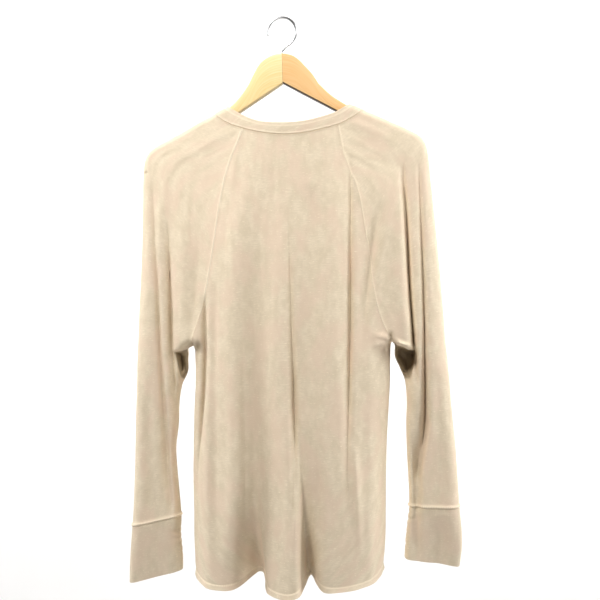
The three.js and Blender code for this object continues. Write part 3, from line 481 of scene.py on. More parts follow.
OUTLINE, GAP, SIDE_LINE = {}, {}, {}
for _side in ("left", "right"):
    _s = SIDE_SIGN[_side]
    _top = [(0, ARM_LINE["z"] + ARM_LINE["slope"] * ARM_LINE["x"] + CLOTH_OVER_ARM)]
    _x = 30.0
    while _x < abs(RAGLAN[_side]["outerX"][0]) - 8:
        _top.append((_s * _x, ARM_LINE["z"] - ARM_LINE["slope"] * (_x - ARM_LINE["x"]) + CLOTH_OVER_ARM))
        _x += 20
    SIDE_LINE[_side] = side_line(_side)
    OUTLINE[_side] = np.concatenate([
        np.array(_top, float),
        sampled(RAGLAN[_side], "outerX", "outerZ"),
        sampled(SLEEVE[_side], "outerX", "outerZ")[1:],
        sampled(CUFF[_side], "outerX", "outerZ")[1:],
        [(CUFF[_side]["outerX"][3] + _s * 2, CUFF[_side]["outerZ"][3] - 40)]])
    GAP[_side] = np.concatenate([
        [(CUFF[_side]["innerX"][3], CUFF[_side]["innerZ"][3] - 40)],
        sampled(CUFF[_side], "innerX", "innerZ")[::-1],
        sampled(SLEEVE[_side], "innerX", "innerZ")[::-1][1:],
        SIDE_LINE[_side][1:],
        [(-150 if _side == "left" else 122, -930)]])
OUTLINE_SIGN = {"left": 1.0, "right": -1.0}
GAP_SIGN = {"left": 1.0, "right": -1.0}


def distance(line, x, z, sign):
    """Signed distance from a polyline, positive on the cloth's side."""
    a, e = line[:-1], np.diff(line, axis=0)
    ll = (e ** 2).sum(1)
    out = np.empty(len(x))
    step = max(1, 4_000_000 // len(a))
    for i in range(0, len(x), step):
        dx = x[i:i + step, None] - a[:, 0]
        dz = z[i:i + step, None] - a[:, 1]
        t = np.clip((dx * e[:, 0] + dz * e[:, 1]) / ll, 0, 1)
        d2 = (dx - e[:, 0] * t) ** 2 + (dz - e[:, 1] * t) ** 2
        across = (e[:, 0] * dz - e[:, 1] * dx) / np.sqrt(ll)
        best = d2.min(1)
        near = np.where(d2 < best[:, None] + 1e-7, np.abs(across), -1.0)
        k = near.argmax(1)
        s = np.where(across[np.arange(len(k)), k] * sign < 0, -1.0, 1.0)
        out[i:i + step] = s * np.sqrt(best)
    return out


# ------------------------------------------------------------ cloth surface


def edge_factor(d, reach):
    u = np.clip(1 - d / reach, 0, None)
    return 1 - u * u


def arm_line(x):
    return ARM_LINE["z"] - ARM_LINE["slope"] * (np.abs(x) - ARM_LINE["x"])


def arm_top(x):
    past = np.clip((x - ARM_DROOP["start"]) / (ARM_REACH - ARM_DROOP["start"]), 0, None)
    return arm_line(x) - ARM_DROOP["drop"] * past * past


def middle(x):
    a = np.abs(x)
    u = a / 90
    f = np.where(a < 90, 90 * (3 + 6 * u * u - u ** 4) / 8,
                 np.where(a > 205, 205 + 25 * (1 - np.exp(-(a - 205) / 25)), a))
    return ARM_RISE * f


def by_side(x, left, right):
    return np.where(x < 0, left, right)


def sheet_info(x, z):
    d_out = np.empty(len(x))
    d_gap = np.empty(len(x))
    for side, mask in (("left", x < 0), ("right", x >= 0)):
        if mask.any():
            d_out[mask] = distance(OUTLINE[side], x[mask], z[mask], OUTLINE_SIGN[side])
            d_gap[mask] = distance(GAP[side], x[mask], z[mask], GAP_SIGN[side])
    return d_out, d_gap


def pit_x(x):
    return by_side(x, abs(SLEEVE["left"]["innerX"][0]), abs(SLEEVE["right"]["innerX"][0]))


def half_squared(x, z, d_out, d_gap):
    a = np.abs(x)
    pit = pit_x(x)
    seam = by_side(x, np.abs(at_value(RAGLAN["left"], z, "seamZ", "seamX")),
                   np.abs(at_value(RAGLAN["right"], z, "seamZ", "seamX")))
    raglan = np.where(z > -496, seam, pit)
    on_sleeve = smooth((a - raglan) / 60 + 0.5)
    tabled = lerp(at_value(BODY_DEPTH, z, "z", "half"), at_value(SLEEVE_DEPTH, z, "z", "half"), on_sleeve)
    drop = np.clip(arm_line(x) + CLOTH_OVER_ARM - z, 0, None) * 0.91
    limit = SHOULDER_HALF + SHOULDER_GROWTH * drop
    half = (tabled ** -4.0 + limit ** -4.0) ** -0.25
    reach_out = at_value(REACH, z, "z", "outer")
    on_gap = smooth((a - pit) / 40 + 0.5)
    # cloth stays flat nearly to the arch under each arm
    near_arch = np.maximum(smooth((z + 530) / 25) * smooth((a - pit + 6) / 14),
                           smooth((z + 512) / 14) * smooth((a - pit + 34) / 20))
    reach_gap = 1 - 0.65 * near_arch
    reach_gap *= lerp(at_value(REACH, z, "z", "body"), at_value(REACH, z, "z", "sleeve"), on_gap)
    return half * half * edge_factor(d_out, reach_out) * edge_factor(d_gap, reach_gap)


def between(keys, col, v, still=False):
    """Smooth curve through a column at uneven heights; still makes its two
    ends level."""
    h = np.diff(keys)
    rise = np.diff(col) / h
    inner = (rise[1:] * h[:-1] + rise[:-1] * h[1:]) / (h[:-1] + h[1:])
    ends = (0.0, 0.0) if still else (rise[0], rise[-1])
    m = np.concatenate([ends[:1], inner, ends[1:]])
    i = np.clip(np.searchsorted(-keys[1:-1], -v, side="left"), 0, len(h) - 1)
    f = np.clip((v - keys[i]) / h[i], 0, 1)
    return (col[i] * (1 + 2 * f) * (1 - f) ** 2 + m[i] * h[i] * f * (1 - f) ** 2
            + col[i + 1] * f * f * (3 - 2 * f) + m[i + 1] * h[i] * f * f * (f - 1))


def fold_depth(folds, x, z):
    total = np.zeros(len(x))
    for r in folds:
        m = (z < r["z"][0]) & (z > r["z"][-1] - 12)
        if not m.any():
            continue
        zs = z[m]
        u = x[m] - between(r["z"], r["x"], zs)
        w = np.where(u < 0, between(r["z"], r["wl"], zs), between(r["z"], r["wr"], zs))
        p = np.where(u < 0, r["pl"], r["pr"])
        d = between(r["z"], r["d"], zs, still=r["d"][-1] == 0)
        # rounds off the very bottom of a sharp fold
        q = np.sqrt((u / w) ** 2 + 0.02)
        add = d * np.exp(-(q ** p)) * math.e ** (0.02 ** 0.5 * 0.6)
        if r["d"][-1] == 0:
            add = add * (zs > r["z"][-1])
        total[m] += add
    return total


def underarm(x, z, sheet):
    """How far both layers stand forward under the arm, and how far the back
    layer is drawn in further below the arch."""
    shift = np.zeros(len(x))
    draw = np.zeros(len(x))
    for side in ("left", "right"):
        h, s = UNDERARM[side], SIDE_SIGN[side]
        pit = abs(SLEEVE[side]["innerX"][0])
        m = (x * s > 100) & (z < -470) & (z > h["foot"] - 80)
        if not m.any():
            continue
        xs, zs = x[m], z[m]
        t = (xs - h["x1"]) / (h["x0"] - h["x1"])
        arch = lerp(h["z1"], h["z0"], smooth(t))
        edge = h["x0"] * s + 2.5 - np.clip(h["z0"] - zs, 0, None) ** 1.5 * 0.026
        e = HOLLOW_EDGE if sheet < 0 else 30.0
        if sheet > 0:
            arch, edge = arch + 15, edge + 20
        below = smooth((arch - zs) / e) * smooth((zs - h["foot"]) / 30)
        within = smooth((edge - xs * s) / e)
        soft = max(e, 13.0)
        shift[m] = (h["shift"] * smooth((arch - zs + 4) / soft) * smooth((zs - h["foot"] + 40) / 90)
                    * smooth((edge + 8 - xs * s) / (soft * 1.6)) * smooth((xs * s - pit + 6) / 8))
        draw[m] = h["depth"] * below * within * smooth((xs * s - pit + 4) / 6)
    return shift, draw


def small_forms(x, z):
    """The rolled rim over each hollow, and the puckers beside them."""
    total = np.zeros(len(x))
    for side in ("left", "right"):
        h, s = UNDERARM[side], SIDE_SIGN[side]
        t = (x * s - h["x1"]) / (h["x0"] - h["x1"])
        arch = lerp(h["z1"], h["z0"], smooth(t))
        over = np.exp(-((z - arch - RIM["above"]) / RIM["half"]) ** 2)
        total -= RIM["high"] * over * smooth(t * 4 + 0.6) * smooth((1.15 - t) * 4)
    for q in PUCKERS:
        total += q["d"] * np.exp(-((x - q["x"]) / q["w"]) ** 2 - ((z - q["z"]) / q["h"]) ** 2)
    return total


def sheet_middle(x, z, sheet, d_out, d_gap):
    fade = smooth(np.minimum(d_out, d_gap) / 9)
    shift, draw = underarm(x, z, -1)
    soft, _ = underarm(x, z, 1)
    front = lerp(shift, soft, smooth(d_gap / 18)) - fade * fold_depth(FRONT_FOLDS, x, z)
    if sheet > 0:
        return middle(x) + front
    drawn = fade * (fold_depth(BACK_FOLDS, x, z) + small_forms(x, z) + draw)
    # a fold never goes as deep as the layer in front of it
    half = np.sqrt(np.clip(half_squared(x, z, d_out, d_gap), 0, None))
    room = np.clip(front - shift + 2 * half - CLEAR, 0, None)
    soft_corner = 3.0 * smooth(room / 8)
    least = (drawn + room - np.sqrt((drawn - room) ** 2 + soft_corner ** 2)) / 2
    return middle(x) + shift + np.where(drawn > 0, np.minimum(drawn, least), drawn)


def flat(*arrays):
    shape = np.broadcast(*arrays).shape
    return shape, [np.broadcast_to(a, shape).astype(float).ravel() for a in arrays]


def surface(x, z, sheet):
    shape, (x, z) = flat(x, z)
    d_out, d_gap = sheet_info(x, z)
    half = np.sqrt(np.clip(half_squared(x, z, d_out, d_gap), 0, None))
    y = sheet_middle(x, z, sheet, d_out, d_gap) + sheet * half
    return np.stack([x, y, z], 1).reshape(shape + (3,))


def normal(x, z, sheet):
    """Outward normal of the sheet, well behaved at the outline too."""
    shape, (x, z) = flat(x, z)
    e = 0.4

    def both(px, pz):
        d_out, d_gap = sheet_info(px, pz)
        return half_squared(px, pz, d_out, d_gap), sheet_middle(px, pz, sheet, d_out, d_gap)

    h0, _ = both(x, z)
    hxp, mxp = both(x + e, z)
    hxm, mxm = both(x - e, z)
    hzp, mzp = both(x, z + e)
    hzm, mzm = both(x, z - e)
    y = sheet * np.sqrt(np.clip(h0, 0, None))
    n = np.stack([-(hxp - hxm) / (4 * e) - y * (mxp - mxm) / (2 * e), y,
                  -(hzp - hzm) / (4 * e) - y * (mzp - mzm) / (2 * e)], 1)
    n /= np.maximum(np.linalg.norm(n, axis=1), 1e-9)[:, None]
    return n.reshape(shape + (3,))


# ------------------------------------------------------------------ regions


def body_upper(k, s, sheet):
    key = "seam" if sheet < 0 else "front"
    ax, az = at_row(RAGLAN["left"][key + "X"], k), at_row(RAGLAN["left"][key + "Z"], k)
    bx, bz = at_row(RAGLAN["right"][key + "X"], k), at_row(RAGLAN["right"][key + "Z"], k)
    a0x, a0z = RAGLAN["left"][key + "X"][0], RAGLAN["left"][key + "Z"][0]
    b0x, b0z = RAGLAN["right"][key + "X"][0], RAGLAN["right"][key + "Z"][0]
    neck = NECK_BACK if sheet < 0 else NECK_FRONT
    rr = RAGLAN_ROW_BACK if sheet < 0 else RAGLAN_ROW_FRONT
    t = lerp(rr["left"], rr["right"], s)
    nx, nz = at_row(neck["seamX"], t), at_row(neck["seamZ"], t)
    fade = (1 - k / PIT_ROW) ** 1.5
    return (lerp(ax, bx, s) + fade * (nx - lerp(a0x, b0x, s)),
            lerp(az, bz, s) + fade * (nz - lerp(a0z, b0z, s)))


def side_x(side, z):
    line = SIDE_LINE[side]
    return np.interp(-z, -line[:, 1], line[:, 0])


def hem_level(x, sheet):
    x = np.atleast_1d(x)
    sway = surface(x, np.full(len(x), -860.0), sheet)[..., 1] - middle(x)
    return at_value(HEM, x, "x", "z") + HEM_FALL + HEM_SWAY * sway * -sheet


_HEM_X = np.linspace(-165, 160, 326)
_HEM_Z = {sheet: hem_level(_HEM_X, sheet) for sheet in (-1, 1)}


def body_lower(f, s, sheet):
    pit_z = lerp(RAGLAN["left"]["seamZ"][PIT_ROW], RAGLAN["right"]["seamZ"][PIT_ROW], s)
    z = lerp(pit_z, -862, f)
    x = s * 0
    for _ in range(5):
        x = lerp(side_x("left", z), side_x("right", z), s)
        z = lerp(pit_z, np.interp(x, _HEM_X, _HEM_Z[sheet]), f)
    return x, z


def body_place(v, s, sheet):
    """v is 0 at the neck, 1 at the armpits and 2 at the hem."""
    v, s = np.broadcast_arrays(np.asarray(v, float), np.asarray(s, float))
    ux, uz = body_upper(np.clip(v, 0, 1) * PIT_ROW, s, sheet)
    lx, lz = body_lower(np.clip(v - 1, 0, 1), s, sheet)
    return np.where(v <= 1, ux, lx), np.where(v <= 1, uz, lz)


def sleeve_place(side, v, s, sheet):
    """v is 0 at the neck, 1 at the armpit and 2 at the cuff; s is 0 at the
    raglan seam or inner edge and 1 at the outer edge."""
    v, s = np.broadcast_arrays(np.asarray(v, float), np.asarray(s, float))
    rows = RAGLAN[side]
    key = "seam" if sheet < 0 else "front"
    k = np.clip(v, 0, 1) * PIT_ROW
    ax, az = at_row(rows[key + "X"], k), at_row(rows[key + "Z"], k)
    ox, oz = on_line(rows, "outerX", "outerZ", k)
    neck = NECK_BACK if sheet < 0 else NECK_FRONT
    start = (RAGLAN_ROW_BACK if sheet < 0 else RAGLAN_ROW_FRONT)[side]
    last = len(neck["seamX"]) - 1
    to = 0 if (side == "left") == (sheet < 0) else last
    t = lerp(start, to, s)
    nx, nz = at_row(neck["seamX"], t), at_row(neck["seamZ"], t)
    fade = np.clip(1 - k / 4, 0, None) ** 2
    ux = lerp(ax, ox, s) + fade * (nx - lerp(rows[key + "X"][0], rows["outerX"][0], s))
    uz = lerp(az, oz, s) + fade * (nz - lerp(rows[key + "Z"][0], rows["outerZ"][0], s))
    low = np.clip(v - 1, 0, 1) * (len(SLEEVE[side]["innerX"]) - 1)
    ix, iz = on_line(SLEEVE[side], "innerX", "innerZ", low)
    jx, jz = on_line(SLEEVE[side], "outerX", "outerZ", low)
    lx, lz = lerp(ix, jx, s), lerp(iz, jz, s)
    return np.where(v <= 1, ux, lx), np.where(v <= 1, uz, lz)


def cuff_place(side, v, s, sheet):
    """v is 0 at the sleeve and 1 at the cuff's edge."""
    v, s = np.broadcast_arrays(np.asarray(v, float), np.asarray(s, float))
    k = np.clip(v, 0, 1) * 3
    ix, iz = on_line(CUFF[side], "innerX", "innerZ", k)
    ox, oz = on_line(CUFF[side], "outerX", "outerZ", k)
    return lerp(ix, ox, s), lerp(iz, oz, s)


FINE = 260
FINE_S = (1 - np.cos(np.pi * np.arange(FINE + 1) / FINE)) / 2


def columns(place, vs, sheet, wanted, crease=0.0):
    """Where a panel's columns lie on each row, so that they are spread over
    the cloth's own length, and closer where it is creased.

    wanted(total) gives shares from 0 to 1 of that length."""
    coarse = vs[::6] if len(vs) > 12 else vs
    if coarse[-1] != vs[-1]:
        coarse = np.append(coarse, vs[-1])
    x, z = place(coarse[:, None], FINE_S[None, :])
    p = surface(x, z, sheet)
    ds = np.linalg.norm(np.diff(p, axis=1), axis=2)
    out = []
    for i in range(len(coarse)):
        d = np.maximum(ds[i], 1e-6)
        weight = np.ones(FINE)
        if crease:
            lens = np.concatenate([[0], np.cumsum(d)])
            slope = np.arctan2(np.diff(p[i, :, 1]), np.abs(np.diff(p[i, :, 0])) + 1e-6)
            mid = (lens[1:] + lens[:-1]) / 2
            bend = np.abs(np.gradient(slope, mid))
            grid = np.arange(0, lens[-1], 1.0)
            b = np.interp(grid, mid, np.minimum(bend, 0.25))
            b = np.convolve(b, np.ones(9) / 9, mode="same")
            weight = 1 + crease * np.interp(mid, grid, b) / 0.12
        lens = np.concatenate([[0], np.cumsum(d * weight)])
        want = wanted(lens[-1])
        out.append(np.interp(want * lens[-1], lens, FINE_S))
    out = np.array(out)
    if len(out) > 4:
        # evens out jumps from row to row
        pad = np.concatenate([out[:1], out, out[-1:]])
        out = (pad[:-2] + 2 * out + pad[2:]) / 4
    s = np.empty((len(vs), out.shape[1]))
    for j in range(out.shape[1]):
        s[:, j] = np.interp(vs, coarse, out[:, j])
    return s


# ------------------------------------------------------------------ meshes


def make_object(name, verts, faces, uvs=None, material=None):
    """uvs has one row for each corner of each face, in the faces' order: its
    place on the cloth, its distance from a seam and place along it, and how
    much painted shade it gets for lying in a fold or hollow."""
    mesh = bpy.data.meshes.new(name)
    mesh.from_pydata((np.asarray(verts) * 0.001).tolist(), [], faces)
    if uvs is not None:
        uvs = np.asarray(uvs, np.float32)
        for k, layer_name in enumerate(("cloth", "seam", "shade")[:uvs.shape[1] // 2]):
            layer = mesh.uv_layers.new(name=layer_name)
            layer.data.foreach_set("uv", uvs[:, 2 * k:2 * k + 2].ravel())
    mesh.polygons.foreach_set("use_smooth", np.ones(len(mesh.polygons), bool))
    mesh.update()
    obj = bpy.data.objects.new(name, mesh)
    bpy.context.scene.collection.objects.link(obj)
    if material is not None:
        mesh.materials.append(material)
    return obj


def shell(name, p, n, uv, thick, material, closed_from=None, flip=False,
          round_last=False, round_first=False):
    """Closed thin wall round a grid of points. Rows run down the piece and
    columns round it. From row closed_from on, the last column is the first."""
    rows, cols = p.shape[:2]
    thick = np.broadcast_to(np.asarray(thick, float), (rows, cols))[..., None]
    verts, uvs, count = [], [], [0]

    def put(grid_p, grid_uv, first_row):
        ids = count[0] + np.arange(grid_p.shape[0] * grid_p.shape[1]).reshape(grid_p.shape[:2])
        count[0] += ids.size
        verts.append(grid_p.reshape(-1, 3))
        uvs.append(grid_uv.reshape(-1, grid_uv.shape[-1]))
        shared = ids.copy()
        if closed_from is not None:
            k = max(0, closed_from - first_row)
            shared[k:, -1] = shared[k:, 0]
        return np.stack([shared, ids], -1)      # corner's vertex, corner's uv

    def rim(at, before, row):
        t = p[at] - p[before]
        t /= np.maximum(np.linalg.norm(t, axis=-1), 1e-9)[..., None]
        layers = []
        for a in (30, 70, 110, 150):
            c, s = math.cos(math.radians(a)), math.sin(math.radians(a))
            layers.append(p[at] + n[at] * thick[at] / 2 * c + t * thick[at] / 2 * s)
        return put(np.stack(layers), np.repeat(uv[at][None], 4, axis=0),
                   rows if row else (0 if closed_from == 0 else -10 ** 6))

    o = put(p + n * thick / 2, uv, 0)
    i = put(p - n * thick / 2, uv, 0)
    quads = []

    def strip(g):
        a, b, c, d = g[:-1, :-1], g[1:, :-1], g[1:, 1:], g[:-1, 1:]
        quads.append(np.stack([a, b, c, d], 2).reshape(-1, 4, 2))

    strip(o)
    strip(i[::-1])
    caps = []
    if round_last:
        r = np.concatenate([o[-1:], rim(-1, -2, True), i[-1:]])
        strip(r)
        if closed_from is None:
            caps += [[r[0, 0], *r[:0:-1, 0]], [r[-1, -1], *r[:-1, -1]]]
    else:
        strip(np.stack([o[-1], i[-1]]))
    if round_first:
        strip(np.concatenate([i[:1], rim(0, 1, False)[::-1], o[:1]]))
    else:
        strip(np.stack([i[0], o[0]]))
    last = rows if closed_from is None else closed_from + 1
    if closed_from != 0:
        a, b = o[:last, 0], i[:last, 0]
        quads.append(np.stack([a[:-1], b[:-1], b[1:], a[1:]], 1))
        a, b = o[:last, -1], i[:last, -1]
        quads.append(np.stack([a[:-1], a[1:], b[1:], b[:-1]], 1))
    q = np.concatenate(quads)
    caps = np.array(caps, int).reshape(-1, 6, 2)
    if flip:
        q, caps = q[:, ::-1], caps[:, ::-1]
    v = np.concatenate(verts)
    corners = np.concatenate([q.reshape(-1, 2), caps.reshape(-1, 2)])
    used, index = np.unique(corners[:, 0], return_inverse=True)
    index = index.ravel()
    faces = index[:q.size // 2].reshape(-1, 4).tolist() + index[q.size // 2:].reshape(-1, 6).tolist()
    return make_object(name, v[used], faces, np.concatenate(uvs)[corners[:, 1]], material)


def arc(p, axis):
    """Running length along an axis of a grid of points."""
    d = np.linalg.norm(np.diff(p, axis=axis), axis=2)
    z = np.zeros_like(np.take(d, [0], axis=axis))
    return np.concatenate([z, np.cumsum(d, axis=axis)], axis=axis)


def pull(p, axis, first, amount):
    """Moves a grid's edge line in, square to the edge."""
    g = p if axis == 0 else p.transpose(1, 0, 2)
    at, to = (0, 1) if first else (-1, -2)
    d = g[to] - g[at]
    along = np.gradient(g[at], axis=0)
    along /= np.maximum(np.linalg.norm(along, axis=1), 1e-9)[:, None]
    d = d - along * (d * along).sum(1)[:, None]
    d /= np.maximum(np.linalg.norm(d, axis=1), 1e-9)[:, None]
    amount = np.broadcast_to(amount, (len(d),))
    g[at] = g[at] + d * amount[:, None]
    return p


NEAR = np.array([0, 0.7, 1.5, 2.4, 3.4, 4.6])   # columns beside a seam, mm


def spread(total, count, near_first=True, near_last=True):
    a = NEAR / total if near_first else np.array([0.0])
    b = 1 - NEAR[::-1] / total if near_last else np.array([1.0])
    inner = np.linspace(a[-1], b[0], count - len(a) - len(b) + 3)[1:-1]
    return np.concatenate([a, inner, b])


def seam_relief(t):
    """Height of cloth beside a seam, t mm from it."""
    return 0.75 * np.exp(-(t / 2.0) ** 2)


def seam_map(u, v, lines, hollow=0.0):
    """Adds to the cloth's own place the nearest stitched line: how far it is
    and how far along it, from pairs of arrays; and the amount of painted shade."""
    far, along = np.full(u.shape, 50.0), np.zeros(u.shape)
    for d, a in lines:
        d, a = np.broadcast_to(d, u.shape), np.broadcast_to(a, u.shape)
        near = d < far
        far, along = np.where(near, d, far), np.where(near, a, along)
    hollow = np.broadcast_to(hollow, u.shape) * 100
    return np.stack([u, v, far, along, hollow, hollow], -1) / 100


def painted_shade_amount(x, z, sheet):
    """Painted shade for the cloth's colour, from how deep in a fold, or in the hollow under an arm, the cloth
    lies, and from the puckers.
    """
    shape, (x, z) = flat(x, z)
    folds = fold_depth(BACK_FOLDS if sheet < 0 else FRONT_FOLDS, x, z)
    deep = 0.2 * smooth((folds - 2) / 12) * smooth(1 - (folds - 20) / 20)
    if sheet < 0:
        deep = np.maximum(deep, smooth(underarm(x, z, sheet)[1] / 5))
    for q in PUCKERS:
        deep = np.maximum(deep, 0.8 * (sheet < 0) * np.exp(-((x - q["x"]) / q["w"]) ** 2 - ((z - q["z"]) / q["h"]) ** 2))
    return deep.reshape(shape)


def stitches(name, path, out, pitch, long, wide, high, material):
    """A row of raised stitches along a line on the cloth, points in mm."""
    at = np.concatenate([[0], np.cumsum(np.linalg.norm(np.diff(path, axis=0), axis=1))])
    count = int(at[-1] / pitch)
    s = (np.arange(count) + 0.5) * at[-1] / count

    def along(values, t):
        return np.stack([np.interp(t, at, values[:, k]) for k in range(3)], 1)

    centre, o = along(path, s), along(out, s)
    t = along(path, s + 0.6) - along(path, s - 0.6)
    o /= np.linalg.norm(o, axis=1)[:, None]
    t /= np.linalg.norm(t, axis=1)[:, None]
    b = np.cross(t, o)
    rings, sides = 4, 8
    verts, faces = [], []
    for i in range(count):
        first = len(verts)
        size = 1 + 0.12 * math.sin(2.3 * i) + 0.08 * math.sin(5.9 * i)
        verts.append(centre[i] - t[i] * long / 2)
        for r in range(1, rings):
            a = math.pi * r / rings
            for k in range(sides):
                q = 2 * math.pi * k / sides
                verts.append(centre[i] - t[i] * math.cos(a) * long / 2 + math.sin(a) * (
                    b[i] * math.cos(q) * wide / 2 * size + o[i] * math.sin(q) * high))
        verts.append(centre[i] + t[i] * long / 2)
        last = len(verts) - 1
        for k in range(sides):
            n = (k + 1) % sides
            faces.append((first, first + 1 + n, first + 1 + k))
            for r in range(rings - 2):
                a, c = first + 1 + r * sides, first + 1 + (r + 1) * sides
                faces.append((a + k, a + n, c + n, c + k))
            c = first + 1 + (rings - 2) * sides
            faces.append((c + k, c + n, last))
    obj = make_object(name, verts, faces, None, material)
    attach(obj, "root")
    return obj


def value_noise(u, v, seed, step_u, step_v):
    """Smooth random height from -1 to 1, step_u by step_v mm coarse."""
    grid = np.random.RandomState(seed).uniform(-1, 1, (64, 64))
    a, b = u / step_u, v / step_v
    i, j = np.floor(a).astype(int), np.floor(b).astype(int)
    f, g = a - i, b - j
    f, g = f * f * (3 - 2 * f), g * g * (3 - 2 * g)
    i0, i1, j0, j1 = i % 64, (i + 1) % 64, j % 64, (j + 1) % 64
    return lerp(lerp(grid[i0, j0], grid[i1, j0], f), lerp(grid[i0, j1], grid[i1, j1], f), g)


def unevenness(u, v, seed):
    """Hung knit is never quite even: soft upright ripples and small dents."""
    return (0.75 * value_noise(u, v, seed, 17, 120) + 0.35 * value_noise(u, v, seed + 1, 8, 55)
            + 0.14 * value_noise(u, v, seed + 2, 6, 9))


def row_values(length, near_first, near_last):
    """Shares of a panel's length for its rows, close together near edges."""
    n = max(4, int(length / ROW_STEP))
    a = near_first / length
    b = 1 - near_last[::-1] / length
    inner = np.linspace(a[-1], b[0], n)[1:-1]
    return np.concatenate([a, inner, b])


ONE = np.array([0.0])
HEM_ROWS = np.array([0, 1.2, 2.6, 4, 5.4, 6.4, 7, 7.6, 8.6])


def panel(name, sheet, cols, seed, material):
    vs = np.concatenate([row_values(331, NEAR, ONE), 1 + row_values(366, ONE, HEM_ROWS)[1:]])
    place = lambda v, s: body_place(v, s, sheet)
    s = columns(place, vs, sheet, lambda total: spread(total, cols), crease=1.2)
    s[:, 0], s[:, -1] = 0, 1
    x, z = place(vs[:, None], s)
    p = surface(x, z, sheet)
    n = normal(x, z, sheet)
    across, down = arc(p, 1), arc(p, 0)
    total = across[:, -1:]
    u = across - np.array([np.interp(0, *row) for row in zip(x, across)])[:, None]
    from_seam = np.minimum(across, total - across)
    up = down[-1:] - down
    relief = seam_relief(from_seam) + seam_relief(down)
    relief += unevenness(u, z, seed) * smooth(from_seam / 12) * smooth(down / 12)
    relief += 2.0 * np.clip(1 - up / 9, 0, 1) ** 2 - 0.4 * np.exp(-((up - 7) / 0.8) ** 2) \
        + 0.3 * smooth((7.4 - up) / 0.8)
    edge = smooth(from_seam / 3)
    p = p + n * (relief * lerp(0.3, 1, edge))[..., None]
    pull(p, 0, True, SEAM_GAP / 2)
    pull(p, 1, True, SEAM_GAP / 2)
    pull(p, 1, False, SEAM_GAP / 2)
    thick = lerp(PANEL_WALL, PANEL_WALL + 0.8, smooth((7.4 - up) / 0.8))
    # its last entry is the painted shade for folds, the hollow under each arm and the puckers
    uv = seam_map(u, z, [(from_seam + 50 * (vs > 1)[:, None] + 1.4, down),
                         (down + 1.4, across), (np.abs(up - 7), across)], painted_shade_amount(x, z, sheet))
    area = float((np.abs(np.diff(across, axis=1))[:-1] * np.diff(down, axis=0)[:, :-1]).sum()) * 1e-6
    obj = shell(name + "_cloth", p, n, uv, thick, material, flip=sheet > 0, round_last=True)
    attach(obj, "root")
    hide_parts(name)
    if sheet < 0:
        top = int((vs <= 1).sum())
        for side, col, low, wide in (("left", 0, -428, 2.2), ("right", -1, -480, 1.4)):
            k = int((z[:top, col] > low).sum())
            stitches(f"raglan_stitches_{side}", p[:k, col] + n[:k, col] * 0.3, n[:k, col], 2.6,
                     2.3, wide, wide / 3, thread)
    return obj, dict(width=float(total.max()), length=float(down[-1].max()), area=area)


def sleeve(side, seed, material):
    low = 285 if side == "left" else 262
    vs = np.concatenate([row_values(345, NEAR, ONE), 1 + row_values(low, ONE, NEAR)[1:]])
    pit = int(np.argmin(np.abs(vs - 1)))
    halves = []
    for sheet in (-1, 1):
        place = lambda v, s: sleeve_place(side, v, s, sheet)
        s = columns(place, vs, sheet,
                    lambda total: spread(total, SLEEVE_COLS, True, False), crease=1.2)
        s[:, 0], s[:, -1] = 0, 1
        x, z = place(vs[:, None], s)
        halves.append((surface(x, z, sheet), normal(x, z, sheet), painted_shade_amount(x, z, sheet)))
    (pb, nb, hb), (pf, nf, hf) = halves
    p = np.concatenate([pb, pf[:, ::-1][:, 1:]], 1)
    n = np.concatenate([nb, nf[:, ::-1][:, 1:]], 1)
    # painted shade for folds and the hollow under the arm, round both halves
    hollow = np.concatenate([hb, hf[:, ::-1][:, 1:]], 1)
    p[pit:, -1], n[pit:, -1] = p[pit:, 0], n[pit:, 0]
    across, down = arc(p, 1), arc(p, 0)
    total = across[:, -1:]
    outer_at = across[:, SLEEVE_COLS - 1:SLEEVE_COLS]
    u = across - outer_at
    run = np.concatenate([[0], np.cumsum(np.diff(down, axis=0).mean(1))])[:, None] * np.ones_like(u)
    from_seam = np.minimum(across, total - across)
    up = down[-1:] - down
    relief = seam_relief(from_seam) + seam_relief(down)
    relief += unevenness(u, run, seed) * smooth(from_seam / 12) * smooth(down / 12) * smooth(up / 8)
    relief += 2.1 * np.exp(-((up - 2.9) / 2.1) ** 2) * (1 + 0.25 * np.sin(across / 5.3) * np.sin(across / 11.7))
    p = p + n * relief[..., None]
    p[pit:, -1] = p[pit:, 0]
    pull(p, 0, True, SEAM_GAP / 2)
    pull(p, 0, False, SEAM_GAP / 2)
    fade = np.where(np.arange(len(vs)) < pit, SEAM_GAP / 2, 0.0)
    pull(p, 1, True, fade)
    pull(p, 1, False, fade)
    p[pit:, -1] = p[pit:, 0]
    uv = seam_map(u, -run, [(from_seam + 50 * (np.arange(len(vs)) > pit)[:, None], down), (down + 1.4, across),
                                (np.abs(up - 2.4) * 0.8, across)], hollow)
    area = float((np.diff(across, axis=1)[:-1] * np.diff(down, axis=0)[:, :-1]).sum()) * 1e-6
    obj = shell(f"sleeve_{side}_cloth", p, n, uv, PANEL_WALL, material,
                closed_from=pit, flip=side == "left")
    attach(obj, "root")
    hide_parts(f"sleeve_{side}")
    return obj, dict(width=float(total.max()), length=float(run.max()), area=area)


# Small pleats below each cuff's seam: where they are round it from its outer
# edge, their depth, half width and how far they run down.
CUFF_PLEATS = {
    "left": table("at d w run", [(-62, 0.7, 1.6, 16), (-20, 0.5, 2.2, 12), (48, 0.6, 1.8, 14)]),
    "right": table("at d w run", [
        (-58, 0.9, 1.5, 17), (-44, 0.7, 1.8, 22), (-31, 0.8, 1.6, 14), (-14, 0.5, 2.0, 12),
        (26, 0.6, 1.8, 15), (52, 0.7, 1.6, 18)]),
}
